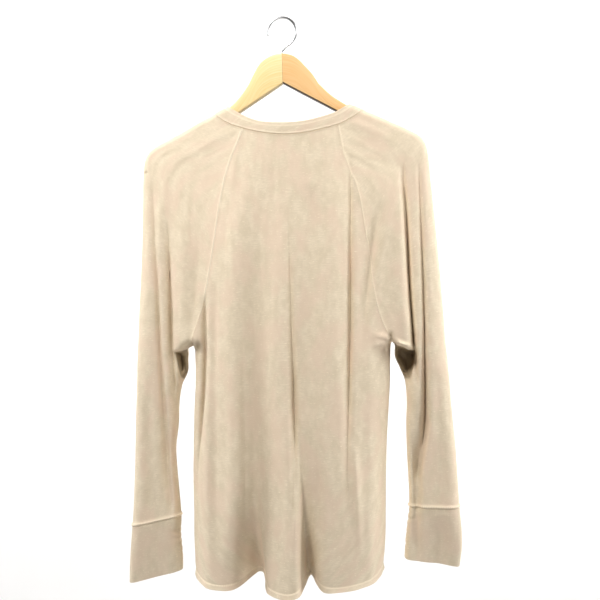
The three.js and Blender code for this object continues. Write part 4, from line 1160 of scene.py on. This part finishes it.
# Wrinkles across the cuffs at their inner edge: height down, depth, half
# height and how far they reach round.
CUFF_WRINKLES = {
    "left": table("down d w reach", [
        (20, 1.6, 2.2, 17), (28, 1.9, 2.2, 21), (37, 1.7, 2.4, 18), (47, 1.2, 2.4, 14), (58, 0.8, 2.6, 12)]),
    "right": table("down d w reach", [
        (10, 1.4, 2.4, 18), (21, 1.8, 2.6, 24), (31, 1.1, 2.4, 18), (42, 0.9, 2.6, 16), (60, 1.1, 3, 18)]),
}


def cuff(side, seed, material):
    length = 86.0
    vs = row_values(length, NEAR, np.array([0, 0.8, 1.8, 3.0]))
    cols = int(SLEEVE_COLS * 0.85)
    halves = []
    for sheet in (-1, 1):
        place = lambda v, s: cuff_place(side, v, s, sheet)
        s = columns(place, vs, sheet, lambda total: np.linspace(0, 1, cols + 1), crease=0.6)
        s[:, 0], s[:, -1] = 0, 1
        x, z = place(vs[:, None], s)
        halves.append((surface(x, z, sheet), normal(x, z, sheet)))
    (pb, nb), (pf, nf) = halves
    p = np.concatenate([pb, pf[:, ::-1][:, 1:]], 1)
    n = np.concatenate([nb, nf[:, ::-1][:, 1:]], 1)
    p[:, -1], n[:, -1] = p[:, 0], n[:, 0]
    across, down = arc(p, 1), arc(p, 0)
    total = across[:, -1:]
    u = across - across[:, cols:cols + 1]
    up = down[-1:] - down
    from_inner = np.minimum(across, total - across)
    relief = -0.5 * np.exp(-(down / 1.8) ** 2)
    relief += 1.1 * value_noise(u, down, seed, 15, 70) * smooth(from_inner / 8) * smooth(down / 6)
    c = CUFF_PLEATS[side]
    for k in range(len(c["at"])):
        relief -= c["d"][k] * np.exp(-((u - c["at"][k]) / c["w"][k]) ** 2) * smooth(1 - down / c["run"][k]) \
            * smooth(down / 3)
    c = CUFF_WRINKLES[side]
    for k in range(len(c["down"])):
        tilt = down - c["down"][k] + 0.25 * from_inner
        relief -= c["d"][k] * np.exp(-(tilt / c["w"][k]) ** 2) * np.exp(-(from_inner / c["reach"][k]) ** 2)
    p = p + n * relief[..., None]
    p[:, -1] = p[:, 0]
    pull(p, 0, True, SEAM_GAP / 2)
    p[:, -1] = p[:, 0]
    uv = seam_map(u, -down, [])
    obj = shell(f"cuff_{side}_cloth", p, n, uv, CUFF_WALL, material, closed_from=0,
                flip=side == "left", round_last=True)
    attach(obj, "root")
    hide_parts(f"cuff_{side}")
    area = float((np.diff(across, axis=1)[:-1] * np.diff(down, axis=0)[:, :-1]).sum()) * 1e-6
    return obj, dict(width=float(total.max()), length=float(down[-1].mean()), area=area)


BAND_JOIN = 1.27        # row of NECK_BACK at which the band's ends are joined
BAND_STITCH = 14.2      # its line of stitches, from the seam


def neckband(seed, material):
    rows_v = np.array([0, 0.05, 0.1, 0.16, 0.23, 0.32, 0.42, 0.52, 0.62, 0.7, 0.76, 0.8, 0.84, 0.9, 0.95, 1.0])
    cols = 250
    parts = []
    for rows, sheet, share in ((NECK_BACK, -1, 0.42), (NECK_FRONT, 1, 0.58)):
        last = len(rows["seamX"]) - 1
        dense = last * (1 - np.cos(np.pi * np.linspace(0, 1, 700))) / 2
        x = lerp(at_row(rows["seamX"], dense), at_row(rows["freeX"], dense), 0.5)
        z = lerp(at_row(rows["seamZ"], dense), at_row(rows["freeZ"], dense), 0.5)
        q = surface(x, z, sheet)
        lens = np.concatenate([[0], np.cumsum(np.linalg.norm(np.diff(q, axis=0), axis=1))])
        m = int(cols * share)
        t = np.interp(np.linspace(0, lens[-1], m + 1), lens, dense)
        x = lerp(at_row(rows["seamX"], t)[None], at_row(rows["freeX"], t)[None], rows_v[:, None])
        z = lerp(at_row(rows["seamZ"], t)[None], at_row(rows["freeZ"], t)[None], rows_v[:, None])
        parts.append((surface(x, z, sheet), normal(x, z, sheet), np.broadcast_to(t, x.shape), sheet))
    (pb, nb, tb, _), (pf, nf, tf, _) = parts
    p = np.concatenate([pb[:, :-1], pf], 1)
    n = np.concatenate([nb[:, :-1], nf], 1)
    p[:, -1], n[:, -1] = p[:, 0], n[:, 0]
    on_back = np.concatenate([np.ones(pb.shape[1] - 1), np.zeros(pf.shape[1])])[None]
    t = np.concatenate([tb[:, :-1], tf], 1)
    across, up = arc(p, 1), arc(p, 0)
    height = up[-1:]
    relief = 0.9 * np.exp(-((up - 1.9) / 1.2) ** 2) - 0.9 * np.exp(-(up / 0.8) ** 2)
    relief += 0.5 * np.sin(np.pi * up / height)
    relief -= 0.4 * np.exp(-((up - BAND_STITCH * height / 18) / 0.7) ** 2)
    join = (t - BAND_JOIN) * 22 * on_back + 99 * (1 - on_back)
    relief += -0.6 * np.exp(-(join / 0.9) ** 2) + 0.35 * np.exp(-((join - 2.2) / 1.2) ** 2)
    relief += 0.2 * value_noise(across, up, seed, 13, 30)
    p = p + n * relief[..., None]
    p[:, -1] = p[:, 0]
    pull(p, 0, True, SEAM_GAP / 2)
    p[:, -1] = p[:, 0]
    uv = seam_map(across, up, [(np.abs(up - 1.2), across), (np.abs(up - BAND_STITCH * height / 18), across)])
    obj = shell("neckband_cloth", p, n, uv, BAND_WALL, material, closed_from=0,
                flip=True, round_last=True)
    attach(obj, "root")
    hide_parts("neckband")
    stitches("neck_stitches", p[2] + n[2] * 0.3, n[2], 2.6, 2.4, 1.7, 0.6, thread)
    area = float((np.diff(across, axis=1)[:-1] * np.diff(up, axis=0)[:, :-1]).sum()) * 1e-6
    return obj, dict(width=float(across[:, -1].max()), length=float(height.mean()), area=area)


# ------------------------------------------------------------------- hanger


def arm_under(side, x):
    f = smooth((x - 72) / 36)
    steep = ARM_UNDER["z"] - ARM_UNDER["slope"] * x
    low = np.where(x < 120, arm_line(x), arm_top(x)) - ARM_HEIGHT
    return lerp(steep, low, f)


def arm_upper(side, x):
    rows = ARM_TOP[side]
    join = rows["x"][-1]
    return np.where(x < join, at_value(rows, x, "x", "z"), arm_top(x))


def hanger_arm(side, material):
    """A loft of rounded sections along the arm, square to its plane."""
    s = SIDE_SIGN[side]
    tilt = math.atan(ARM_RISE)
    r_end = ARM_HEIGHT / 2
    end = ARM_REACH - r_end
    xs = np.concatenate([np.linspace(0, 110, 61), np.linspace(110, end, 40)[1:],
                         end + r_end * np.sin(np.linspace(0, math.pi / 2, 16)[1:])])
    xs[-1] = ARM_REACH - 0.02
    top = arm_upper(side, np.minimum(xs, end))
    under = arm_under(side, np.minimum(xs, end))
    past = np.clip((xs - end) / r_end, 0, 1)
    drop = 1 - np.sqrt(1 - past ** 2)
    mid, half = (top + under) / 2, (top - under) / 2
    top, under = mid + half * (1 - drop), mid - half * (1 - drop)
    corner = np.linspace(0, math.pi / 2, 6)
    rows = []
    for k, x in enumerate(xs):
        hh, ww = (top[k] - under[k]) / 2, ARM_THICK / 2
        # the end is rounded off across its thickness too
        ww -= ARM_ROUND * max(0.0, 1 - math.sqrt(max(0.0, 1 - past[k] ** 2)))
        r = min(ARM_ROUND, hh * 0.98)
        ring = []
        for q in range(4):
            a = corner + q * math.pi / 2
            cx = (ww - r) * (1 if q in (0, 3) else -1)
            cz = (hh - r) * (1 if q in (0, 1) else -1)
            ring += [(cx + r * math.cos(b), mid[k] + cz + r * math.sin(b)) for b in a]
        rows.append(ring)
    ring = np.array(rows)                       # station, point, (across, z)
    w, zz = ring[..., 0], ring[..., 1]
    along = xs[:, None] / math.cos(tilt) * np.ones_like(w)
    start = (MITRE_GAP / 2 + w * math.sin(tilt)) / math.cos(tilt)
    share = np.clip(1 - along / 30, 0, 1)
    along = along + share * start
    # arm's own frame: along it, across it towards +Y, and up
    px = s * (along * math.cos(tilt) - w * math.sin(tilt))
    py = along * math.sin(tilt) + w * math.cos(tilt)
    p = np.stack([px, py, zz], -1)
    m, c = w.shape
    verts = p.reshape(-1, 3)
    faces, uvs = [], []
    lengths = np.concatenate([[0], np.cumsum(np.hypot(np.diff(xs) / math.cos(tilt), np.diff(mid)))])
    round_it = np.concatenate([np.zeros((m, 1)), np.cumsum(
        np.linalg.norm(np.diff(np.concatenate([ring, ring[:, :1]], 1), axis=1), axis=2), 1)], 1)
    for i in range(m - 1):
        for j in range(c):
            k = (j + 1) % c
            f = [i * c + j, i * c + k, (i + 1) * c + k, (i + 1) * c + j]
            uv = [(lengths[i], round_it[i, j]), (lengths[i], round_it[i, j + 1]),
                  (lengths[i + 1], round_it[i + 1, j + 1]), (lengths[i + 1], round_it[i + 1, j])]
            if s > 0:
                f, uv = f[::-1], uv[::-1]
            faces.append(f)
            uvs += uv
    for i, flip in ((0, s > 0), (m - 1, s < 0)):
        f = [i * c + j for j in range(c)]
        uv = [(lengths[i] + ring[i, j, 0] * 0.2, ring[i, j, 1]) for j in range(c)]
        if not flip:
            f, uv = f[::-1], uv[::-1]
        faces.append(f)
        uvs += uv
    obj = make_object(f"hanger_arm_{side}_wood", verts, faces, np.array(uvs) / 100, material)
    # hole for the hook's shank
    bore = tube("bore", [(0, 0, ARM_TOP["left"]["z"][0] - SHANK_DEPTH - SHANK_FIT), (0, 0, -40)],
                WIRE_R + SHANK_FIT, 32, None)
    mod = obj.modifiers.new("bore", "BOOLEAN")
    mod.operation, mod.solver, mod.object = "DIFFERENCE", "EXACT", bore
    deps = bpy.context.evaluated_depsgraph_get()
    cut = bpy.data.meshes.new_from_object(obj.evaluated_get(deps))
    obj.modifiers.clear()
    obj.data = cut
    bpy.data.objects.remove(bore)
    obj.data.polygons.foreach_set("use_smooth", np.ones(len(obj.data.polygons), bool))
    obj.data.set_sharp_from_angle(angle=math.radians(50))
    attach(obj, "root")
    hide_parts(f"hanger_arm_{side}")
    return obj


def tube(name, points, radius, sides, material, tip=False):
    """Round wire along points, with flat or domed ends."""
    p = np.array(points, float)
    t = np.gradient(p, axis=0)
    t /= np.linalg.norm(t, axis=1)[:, None]
    radii = np.full(len(p), float(radius))
    if tip:
        extra, rr = [], []
        for a in np.radians([20, 40, 60, 78]):
            extra.append(p[-1] + t[-1] * radius * math.sin(a))
            rr.append(radius * math.cos(a))
        p = np.concatenate([p, extra])
        t = np.concatenate([t, np.repeat(t[-1:], len(extra), 0)])
        radii = np.concatenate([radii, rr])
    side = np.array([0.0, 1.0, 0.0]) if abs(t[0][1]) < 0.9 else np.array([1.0, 0, 0])
    a = np.linspace(0, 2 * math.pi, sides, endpoint=False)
    verts, uvs = [], []
    run = np.concatenate([[0], np.cumsum(np.linalg.norm(np.diff(p, axis=0), axis=1))])
    for k in range(len(p)):
        e = np.cross(side, t[k])
        e /= np.linalg.norm(e)
        b = np.cross(t[k], e)
        verts.append(p[k] + radii[k] * (np.cos(a)[:, None] * e + np.sin(a)[:, None] * b))
    verts = np.concatenate(verts)
    faces = []
    for k in range(len(p) - 1):
        for j in range(sides):
            m = (j + 1) % sides
            faces.append([k * sides + j, k * sides + m, (k + 1) * sides + m, (k + 1) * sides + j])
            uvs += [(j / sides, run[k]), ((j + 1) / sides, run[k]),
                    ((j + 1) / sides, run[k + 1]), (j / sides, run[k + 1])]
    faces.append(list(range(sides))[::-1])
    uvs += [(0, 0)] * sides
    faces.append([(len(p) - 1) * sides + j for j in range(sides)])
    uvs += [(0, 0)] * sides
    return make_object(name, verts, faces, np.array(uvs) / 10, material)


def hook(material):
    r = HOOK_BEND + WIRE_R
    foot = ARM_TOP["left"]["z"][0]
    cz = -HOOK_BEND
    knots = [(0, 0, foot - SHANK_DEPTH), (0, 0, foot - SHANK_DEPTH / 2), (0, 0, foot - 1),
             (0, 0, foot + 3.5), (4.2, 0, foot + 9), (13, 0, cz - 18)]
    for i in range(10):
        a = math.radians(-30 + 220 * i / 9)
        knots.append((r * math.cos(a), 0, cz + r * math.sin(a)))
    k = np.array(knots, float)
    # centripetal Catmull-Rom through the knots
    ext = np.concatenate([[2 * k[0] - k[1]], k, [2 * k[-1] - k[-2]]])
    pts = []
    for i in range(len(k) - 1):
        q0, q1, q2, q3 = ext[i:i + 4]
        t0 = 0.0
        t1 = t0 + np.linalg.norm(q1 - q0) ** 0.5
        t2 = t1 + np.linalg.norm(q2 - q1) ** 0.5
        t3 = t2 + np.linalg.norm(q3 - q2) ** 0.5
        steps = max(2, int(np.linalg.norm(q2 - q1) / 1.2))
        for t in np.linspace(t1, t2, steps, endpoint=False):
            a1 = (t1 - t) / (t1 - t0) * q0 + (t - t0) / (t1 - t0) * q1
            a2 = (t2 - t) / (t2 - t1) * q1 + (t - t1) / (t2 - t1) * q2
            a3 = (t3 - t) / (t3 - t2) * q2 + (t - t2) / (t3 - t2) * q3
            b1 = (t2 - t) / (t2 - t0) * a1 + (t - t0) / (t2 - t0) * a2
            b2 = (t3 - t) / (t3 - t1) * a2 + (t - t1) / (t3 - t1) * a3
            pts.append((t2 - t) / (t2 - t1) * b1 + (t - t1) / (t2 - t1) * b2)
    pts.append(k[-1])
    obj = tube("hook_wire", pts, WIRE_R, 24, material, tip=True)
    obj.data.set_sharp_from_angle(angle=math.radians(60))
    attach(obj, "root")
    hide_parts("hook")
    return obj


# ---------------------------------------------------------------- materials


class Nodes:
    def __init__(self, name):
        self.material = bpy.data.materials.new(name)
        self.material.use_nodes = True
        self.tree = self.material.node_tree
        self.shader = self.tree.nodes["Principled BSDF"]

    def add(self, kind, **inputs):
        node = self.tree.nodes.new(kind)
        for key, value in inputs.items():
            if key in ("operation", "data_type", "blend_type", "noise_dimensions"):
                setattr(node, key, value)
        for key, value in inputs.items():
            if key in ("operation", "data_type", "blend_type", "noise_dimensions"):
                continue
            slot = node.inputs[int(key[1:])] if key[0] == "i" and key[1:].isdigit() else node.inputs[key.replace("_", " ")]
            if isinstance(value, bpy.types.NodeSocket):
                self.tree.links.new(value, slot)
            else:
                slot.default_value = value
        return node

    def math(self, operation, a, b=0.0):
        return self.add("ShaderNodeMath", operation=operation, i0=a, i1=b).outputs[0]

    def mix(self, factor, a, b, blend="MIX"):
        node = self.tree.nodes.new("ShaderNodeMix")
        node.data_type = "RGBA"
        node.blend_type = blend
        for slot, value in ((node.inputs[0], factor), (node.inputs[6], a), (node.inputs[7], b)):
            if isinstance(value, bpy.types.NodeSocket):
                self.tree.links.new(value, slot)
            elif slot.type == "RGBA":
                slot.default_value = (*value, 1.0)
            else:
                slot.default_value = value
        return node.outputs[2]

    def ramp(self, value, low, high):
        node = self.add("ShaderNodeMapRange", Value=value, From_Min=low, From_Max=high)
        return node.outputs[0]


def srgb(r, g, b):
    def one(c):
        c /= 255
        return c / 12.92 if c <= 0.04045 else ((c + 0.055) / 1.055) ** 2.4
    return (one(r), one(g), one(b))


THREAD = 0.75           # how much paler the stitched lines are


def knit(name, pitch, base, offset, bump):
    """Fine rib: wales of a pitch in mm, courses across them, and the flecks
    and short thick places of a heathered yarn; with painted shade between the
    wales and in folds and hollows."""
    m = Nodes(name)
    uv = m.add("ShaderNodeUVMap")
    uv.uv_map = "cloth"
    mm = m.add("ShaderNodeVectorMath", operation="MULTIPLY", i0=uv.outputs[0], i1=(100, 100, 100))
    mm = m.add("ShaderNodeVectorMath", operation="ADD", i0=mm.outputs[0], i1=(offset, offset * 1.7, offset))
    parts = m.add("ShaderNodeSeparateXYZ", Vector=mm.outputs[0])
    u, v = parts.outputs[0], parts.outputs[1]

    def noise(su, sv, detail=2.0, rough=0.5):
        scaled = m.add("ShaderNodeVectorMath", operation="MULTIPLY", i0=mm.outputs[0],
                       i1=(1 / su, 1 / sv, 1.0))
        return m.add("ShaderNodeTexNoise", Vector=scaled.outputs[0], Scale=1.0, Detail=detail,
                     Roughness=rough).outputs[0]

    wander = m.math("MULTIPLY", noise(9, 30), 0.6)
    wale = m.math("SINE", m.math("MULTIPLY", m.math("ADD", u, wander), 2 * math.pi / pitch))
    wale = m.math("MULTIPLY_ADD", wale, 0.5)
    wale.node.inputs[2].default_value = 0.5
    course = m.math("SINE", m.math("MULTIPLY", v, 2 * math.pi / 1.3))
    course = m.math("MULTIPLY", course, 0.12)
    slub = noise(9, 1.7, 2.0, 0.6)
    fleck = noise(4.5, 1.7, 1.0, 0.4)
    cloud = noise(12, 22, 3.0, 0.55)
    patch = noise(34, 58, 2.0, 0.5)

    dark = tuple(c * f for c, f in zip(base, (0.93, 0.92, 0.905)))
    light = tuple(min(1.0, c * f) for c, f in zip(base, (1.08, 1.08, 1.09)))
    colour = m.mix(m.ramp(slub, 0.3, 0.7), dark, light)
    colour = m.mix(m.math("MULTIPLY", m.ramp(cloud, 0.36, 0.64), 0.75), colour,
                   tuple(c * f for c, f in zip(base, (0.885, 0.865, 0.83))))
    pink = tuple(c * f for c, f in zip(base, (1.0, 0.905, 0.92)))
    colour = m.mix(m.math("MULTIPLY", m.ramp(patch, 0.44, 0.62), 0.6), colour, pink)
    pale = tuple(min(1.0, c * f) for c, f in zip(base, (1.18, 1.19, 1.22)))
    colour = m.mix(m.math("MULTIPLY", m.ramp(fleck, 0.66, 0.74), 0.7), colour, pale)
    # painted shade in the grooves between the wales
    valley = m.math("MULTIPLY", m.math("SUBTRACT", 1.0, wale), 0.12)
    colour = m.mix(valley, colour, tuple(c * 0.72 for c in base))
    edge = m.add("ShaderNodeUVMap")
    edge.uv_map = "seam"
    edge = m.add("ShaderNodeSeparateXYZ", Vector=edge.outputs[0])
    thread = m.add("ShaderNodeMapRange", Value=edge.outputs[0], From_Min=0.019, From_Max=0.009).outputs[0]
    bead = m.math("SINE", m.math("MULTIPLY", edge.outputs[1], 100 * 2 * math.pi / 2.6))
    bead = m.add("ShaderNodeMapRange", Value=bead, From_Min=-1, To_Min=0.35, To_Max=1.0).outputs[0]
    thread = m.math("MULTIPLY", thread, bead)
    colour = m.mix(m.math("MULTIPLY", thread, THREAD), colour, pale)
    # painted shade: where the shade map says the cloth lies in a fold, a hollow or a pucker, its colour is mixed
    # towards a deep brown
    shade = m.add("ShaderNodeUVMap")
    shade.uv_map = "shade"
    shade = m.add("ShaderNodeSeparateXYZ", Vector=shade.outputs[0]).outputs[0]
    colour = m.mix(m.math("MULTIPLY", shade, 0.8), colour, tuple(c * f for c, f in zip(base, (0.30, 0.25, 0.17))))
    m.tree.links.new(colour, m.shader.inputs["Base Color"])

    height = m.math("ADD", wale, course)
    height = m.math("ADD", height, m.math("MULTIPLY", thread, 1.5))
    height = m.math("ADD", height, m.math("MULTIPLY", slub, 0.35))
    bumped = m.add("ShaderNodeBump", Strength=bump, Distance=0.00035, Height=height)
    m.tree.links.new(bumped.outputs[0], m.shader.inputs["Normal"])
    m.shader.inputs["Roughness"].default_value = 0.88
    m.shader.inputs["Specular IOR Level"].default_value = 0.25
    m.shader.inputs["Sheen Weight"].default_value = 0.08
    m.shader.inputs["Sheen Roughness"].default_value = 0.45
    m.shader.inputs["Sheen Tint"].default_value = (*srgb(255, 246, 228), 1)
    return m.material


def wood(name, light, dark, offset, under, painted_shadow_strength):
    """Straight-grained wood; along its lower edge a band of painted shadow, so many mm high."""
    m = Nodes(name)
    uv = m.add("ShaderNodeUVMap")
    uv.uv_map = "cloth"
    mm = m.add("ShaderNodeVectorMath", operation="MULTIPLY", i0=uv.outputs[0], i1=(100, 100, 100))
    mm = m.add("ShaderNodeVectorMath", operation="ADD", i0=mm.outputs[0], i1=(offset, offset, 0))
    long_ = m.add("ShaderNodeVectorMath", operation="MULTIPLY", i0=mm.outputs[0], i1=(1 / 70, 1 / 2.4, 1.0))
    fibre = m.add("ShaderNodeTexNoise", Vector=long_.outputs[0], Scale=1.0, Detail=4.0, Roughness=0.55).outputs[0]
    wide = m.add("ShaderNodeVectorMath", operation="MULTIPLY", i0=mm.outputs[0], i1=(1 / 160, 1 / 9, 1.0))
    rings = m.add("ShaderNodeTexNoise", Vector=wide.outputs[0], Scale=1.0, Detail=2.0, Roughness=0.5).outputs[0]
    colour = m.mix(m.ramp(fibre, 0.35, 0.68), light, dark)
    colour = m.mix(m.math("MULTIPLY", m.ramp(rings, 0.45, 0.6), 0.35), colour, dark)
    place = m.add("ShaderNodeTexCoord")
    place = m.add("ShaderNodeSeparateXYZ", Vector=place.outputs["Object"])
    over = m.math("MULTIPLY", m.math("ABSOLUTE", place.outputs[0]), ARM_UNDER["slope"])
    over = m.math("ADD", m.math("ADD", place.outputs[2], over), -ARM_UNDER["z"] / 1000)
    low = m.add("ShaderNodeMapRange", Value=over, From_Min=(under + 0.6) / 1000, From_Max=under / 1000).outputs[0]
    # painted shadow: the band along the lower edge is mixed towards a dark brown
    colour = m.mix(m.math("MULTIPLY", low, painted_shadow_strength), colour, srgb(46, 34, 30))
    m.tree.links.new(colour, m.shader.inputs["Base Color"])
    bumped = m.add("ShaderNodeBump", Strength=0.12, Distance=0.0002, Height=fibre)
    m.tree.links.new(bumped.outputs[0], m.shader.inputs["Normal"])
    m.shader.inputs["Roughness"].default_value = 0.42
    m.shader.inputs["Coat Weight"].default_value = 0.25
    m.shader.inputs["Coat Roughness"].default_value = 0.25
    return m.material


def steel(name):
    m = Nodes(name)
    coord = m.add("ShaderNodeTexCoord")
    scaled = m.add("ShaderNodeVectorMath", operation="MULTIPLY", i0=coord.outputs["Object"], i1=(900, 900, 900))
    grain = m.add("ShaderNodeTexNoise", Vector=scaled.outputs[0], Scale=1.0, Detail=3.0).outputs[0]
    colour = m.mix(m.ramp(grain, 0.3, 0.7), srgb(188, 190, 193), srgb(208, 209, 211))
    m.tree.links.new(colour, m.shader.inputs["Base Color"])
    m.tree.links.new(m.add("ShaderNodeMapRange", Value=grain, To_Min=0.22, To_Max=0.32).outputs[0],
                     m.shader.inputs["Roughness"])
    m.shader.inputs["Metallic"].default_value = 1.0
    return m.material



def thread_material(name, base):
    """Twisted thread, a little paler than the cloth."""
    m = Nodes(name)
    coord = m.add("ShaderNodeTexCoord")
    grain = m.add("ShaderNodeTexNoise", Vector=coord.outputs["Object"], Scale=900.0, Detail=1.0).outputs[0]
    colour = m.mix(m.ramp(grain, 0.35, 0.65), tuple(c * 0.9 for c in base), base)
    m.tree.links.new(colour, m.shader.inputs["Base Color"])
    bumped = m.add("ShaderNodeBump", Strength=0.4, Distance=0.0001, Height=grain)
    m.tree.links.new(bumped.outputs[0], m.shader.inputs["Normal"])
    m.shader.inputs["Roughness"].default_value = 0.75
    return m.material


BASE = srgb(231, 217, 192)
thread = thread_material("thread", srgb(253, 246, 228))
knit_back = knit("knit_back", 1.7, BASE, 0, 0.5)
knit_front = knit("knit_front", 1.7, BASE, 311, 0.5)
knit_left = knit("knit_left", 1.7, BASE, 617, 0.5)
knit_right = knit("knit_right", 1.7, BASE, 923, 0.5)
rib_cuffs = knit("rib_cuffs", 2.0, tuple(c * 0.93 for c in BASE), 1301, 0.6)
rib_band = knit("rib_band", 2.0, tuple(c * 1.0 for c in BASE), 1709, 0.6)
# The arms are lit and shaded copies of one wood: the left one paler and yellower as if lit, the right one more
# orange as if in shade, with a wider and darker painted shadow along its lower edge.
wood_lit_left = wood("wood_lit_left", srgb(250, 226, 172), srgb(240, 208, 140), 0, 0.5, 0.45)
wood_shaded_right = wood("wood_shaded_right", srgb(249, 208, 152), srgb(238, 188, 124), 40, 2.4, 0.97)
wire = steel("wire_steel")

# ------------------------------------------------------------------- pieces

sizes = {}
made = {}
made["back"], sizes["back"] = panel("back", -1, BACK_COLS, 11, knit_back)
made["front"], sizes["front"] = panel("front", 1, FRONT_COLS, 23, knit_front)
for _side, _seed, _mat in (("left", 37, knit_left), ("right", 53, knit_right)):
    made[f"sleeve_{_side}"], sizes[f"sleeve_{_side}"] = sleeve(_side, _seed, _mat)
    made[f"cuff_{_side}"], sizes[f"cuff_{_side}"] = cuff(_side, _seed + 5, rib_cuffs)
made["neckband"], sizes["neckband"] = neckband(71, rib_band)
arms = [hanger_arm("left", wood_lit_left), hanger_arm("right", wood_shaded_right)]
hook(wire)

# Flat cut of each piece: width and length, and its area in square metres.
CUTS = {
    "back": (0.60, 0.74, 0.244),
    "front": (0.45, 0.71, 0.218),
    "sleeve_left": (0.325, 0.675, 0.166),
    "sleeve_right": (0.325, 0.655, 0.163),
    "cuff_left": (0.215, 0.086, None),
    "cuff_right": (0.215, 0.083, None),
    "neckband": (0.62, 0.020, None),
}
for _name, (_w, _l, _area) in CUTS.items():
    print("sheet", _name, {k: round(v, 4) for k, v in sizes[_name].items()})

# ------------------------------------------------------------------ setting

FLOOR_Z = -2.10
WALL_Y = 1.25


def backdrop():
    """Pale floor that turns up into a wall behind the object."""
    prof = [(-4.0, FLOOR_Z), (WALL_Y - 0.6, FLOOR_Z)]
    for i in range(1, 13):
        a = math.radians(90 * i / 12)
        prof.append((WALL_Y - 0.6 + 0.6 * math.sin(a), FLOOR_Z + 0.6 - 0.6 * math.cos(a)))
    prof.append((WALL_Y, 3.2))
    xs = np.linspace(-4, 4, 9)
    verts = [(x * 1000, y * 1000, z * 1000) for y, z in prof for x in xs]
    faces = [[r * 9 + c, r * 9 + c + 1, (r + 1) * 9 + c + 1, (r + 1) * 9 + c]
             for r in range(len(prof) - 1) for c in range(8)]
    m = Nodes("backdrop")
    coord = m.add("ShaderNodeTexCoord")
    grain = m.add("ShaderNodeTexNoise", Vector=coord.outputs["Object"], Scale=3.0).outputs[0]
    colour = m.mix(m.math("MULTIPLY", grain, 0.1), srgb(250, 250, 250), srgb(240, 240, 240))
    m.tree.links.new(colour, m.shader.inputs["Base Color"])
    m.shader.inputs["Roughness"].default_value = 1.0
    m.shader.inputs["Specular IOR Level"].default_value = 0.0
    obj = make_object("floor_backdrop", verts, faces, None, m.material)
    return obj


backdrop()


def area_light(name, at, to, size, power, colour):
    data = bpy.data.lights.new(name, "AREA")
    data.shape = "RECTANGLE"
    data.size, data.size_y = size
    data.energy = power
    data.color = colour
    obj = bpy.data.objects.new(name, data)
    bpy.context.scene.collection.objects.link(obj)
    obj.location = at
    obj.rotation_euler = (Vector(to) - Vector(at)).to_track_quat("-Z", "Y").to_euler()
    return obj


MIDDLE = (0.0, 0.0, -0.45)
# name, bearing and height in degrees as the camera sees them, distance, size
# and strength
LAMPS = {
    "key": (-37, 46, 2.0, 0.42, 33),
    "fill": (38, 28, 2.2, 0.9, 14),
}
for _name, (_bearing, _height, _far, _size, _watts) in LAMPS.items():
    _a, _e = math.radians(_bearing + 7), math.radians(_height)
    area_light(_name, [m + _far * d for m, d in zip(MIDDLE, (
        math.sin(_a) * math.cos(_e), -math.cos(_a) * math.cos(_e), math.sin(_e)))],
        MIDDLE, (_size, _size), _watts, (1.0, 0.97, 0.94))
area_light("wall_left", (-2.2, 0.3, 0.9), (-0.2, 1.25, -0.4), (1.4, 1.4), 58, (1, 1, 1))
area_light("wall_right", (2.2, 0.3, 0.7), (0.3, 1.25, -0.6), (1.4, 1.4), 66, (1, 1, 1))

world = bpy.data.worlds.new("studio")
bpy.context.scene.world = world
world.use_nodes = True
world.node_tree.nodes["Background"].inputs[0].default_value = (1.0, 0.985, 0.96, 1)
world.node_tree.nodes["Background"].inputs[1].default_value = 0.05

scene = bpy.context.scene
scene.view_settings.view_transform = "Standard"
scene.view_settings.look = "None"
scene.view_settings.exposure = 0.0
scene.view_settings.gamma = 1.0

# ------------------------------------------------------------------- camera

AZIMUTH = math.radians(7.0)
ROLL = math.radians(1.35)
DISTANCE = 1.600            # to the garment's plane
PER_PIXEL = 0.00153
ASIDE = 0.0179
UP_FROM_MIDDLE = (300 - 18.5) * PER_PIXEL

right = Vector((math.cos(AZIMUTH), math.sin(AZIMUTH), 0))
ahead = Vector((-math.sin(AZIMUTH), math.cos(AZIMUTH), 0))
up = Vector((0, 0, 1))
aim = right * ASIDE - up * UP_FROM_MIDDLE
eye = aim - ahead * DISTANCE
cam_x = right * math.cos(ROLL) - up * math.sin(ROLL)
cam_y = right * math.sin(ROLL) + up * math.cos(ROLL)
cam_data = bpy.data.cameras.new("camera")
cam_data.sensor_width = 36
cam_data.lens = DISTANCE / PER_PIXEL / 600 * 36
cam = bpy.data.objects.new("camera", cam_data)
scene.collection.objects.link(cam)
cam.matrix_world = Matrix((
    (cam_x.x, cam_y.x, -ahead.x, eye.x),
    (cam_x.y, cam_y.y, -ahead.y, eye.y),
    (cam_x.z, cam_y.z, -ahead.z, eye.z),
    (0, 0, 0, 1)))
scene.camera = cam
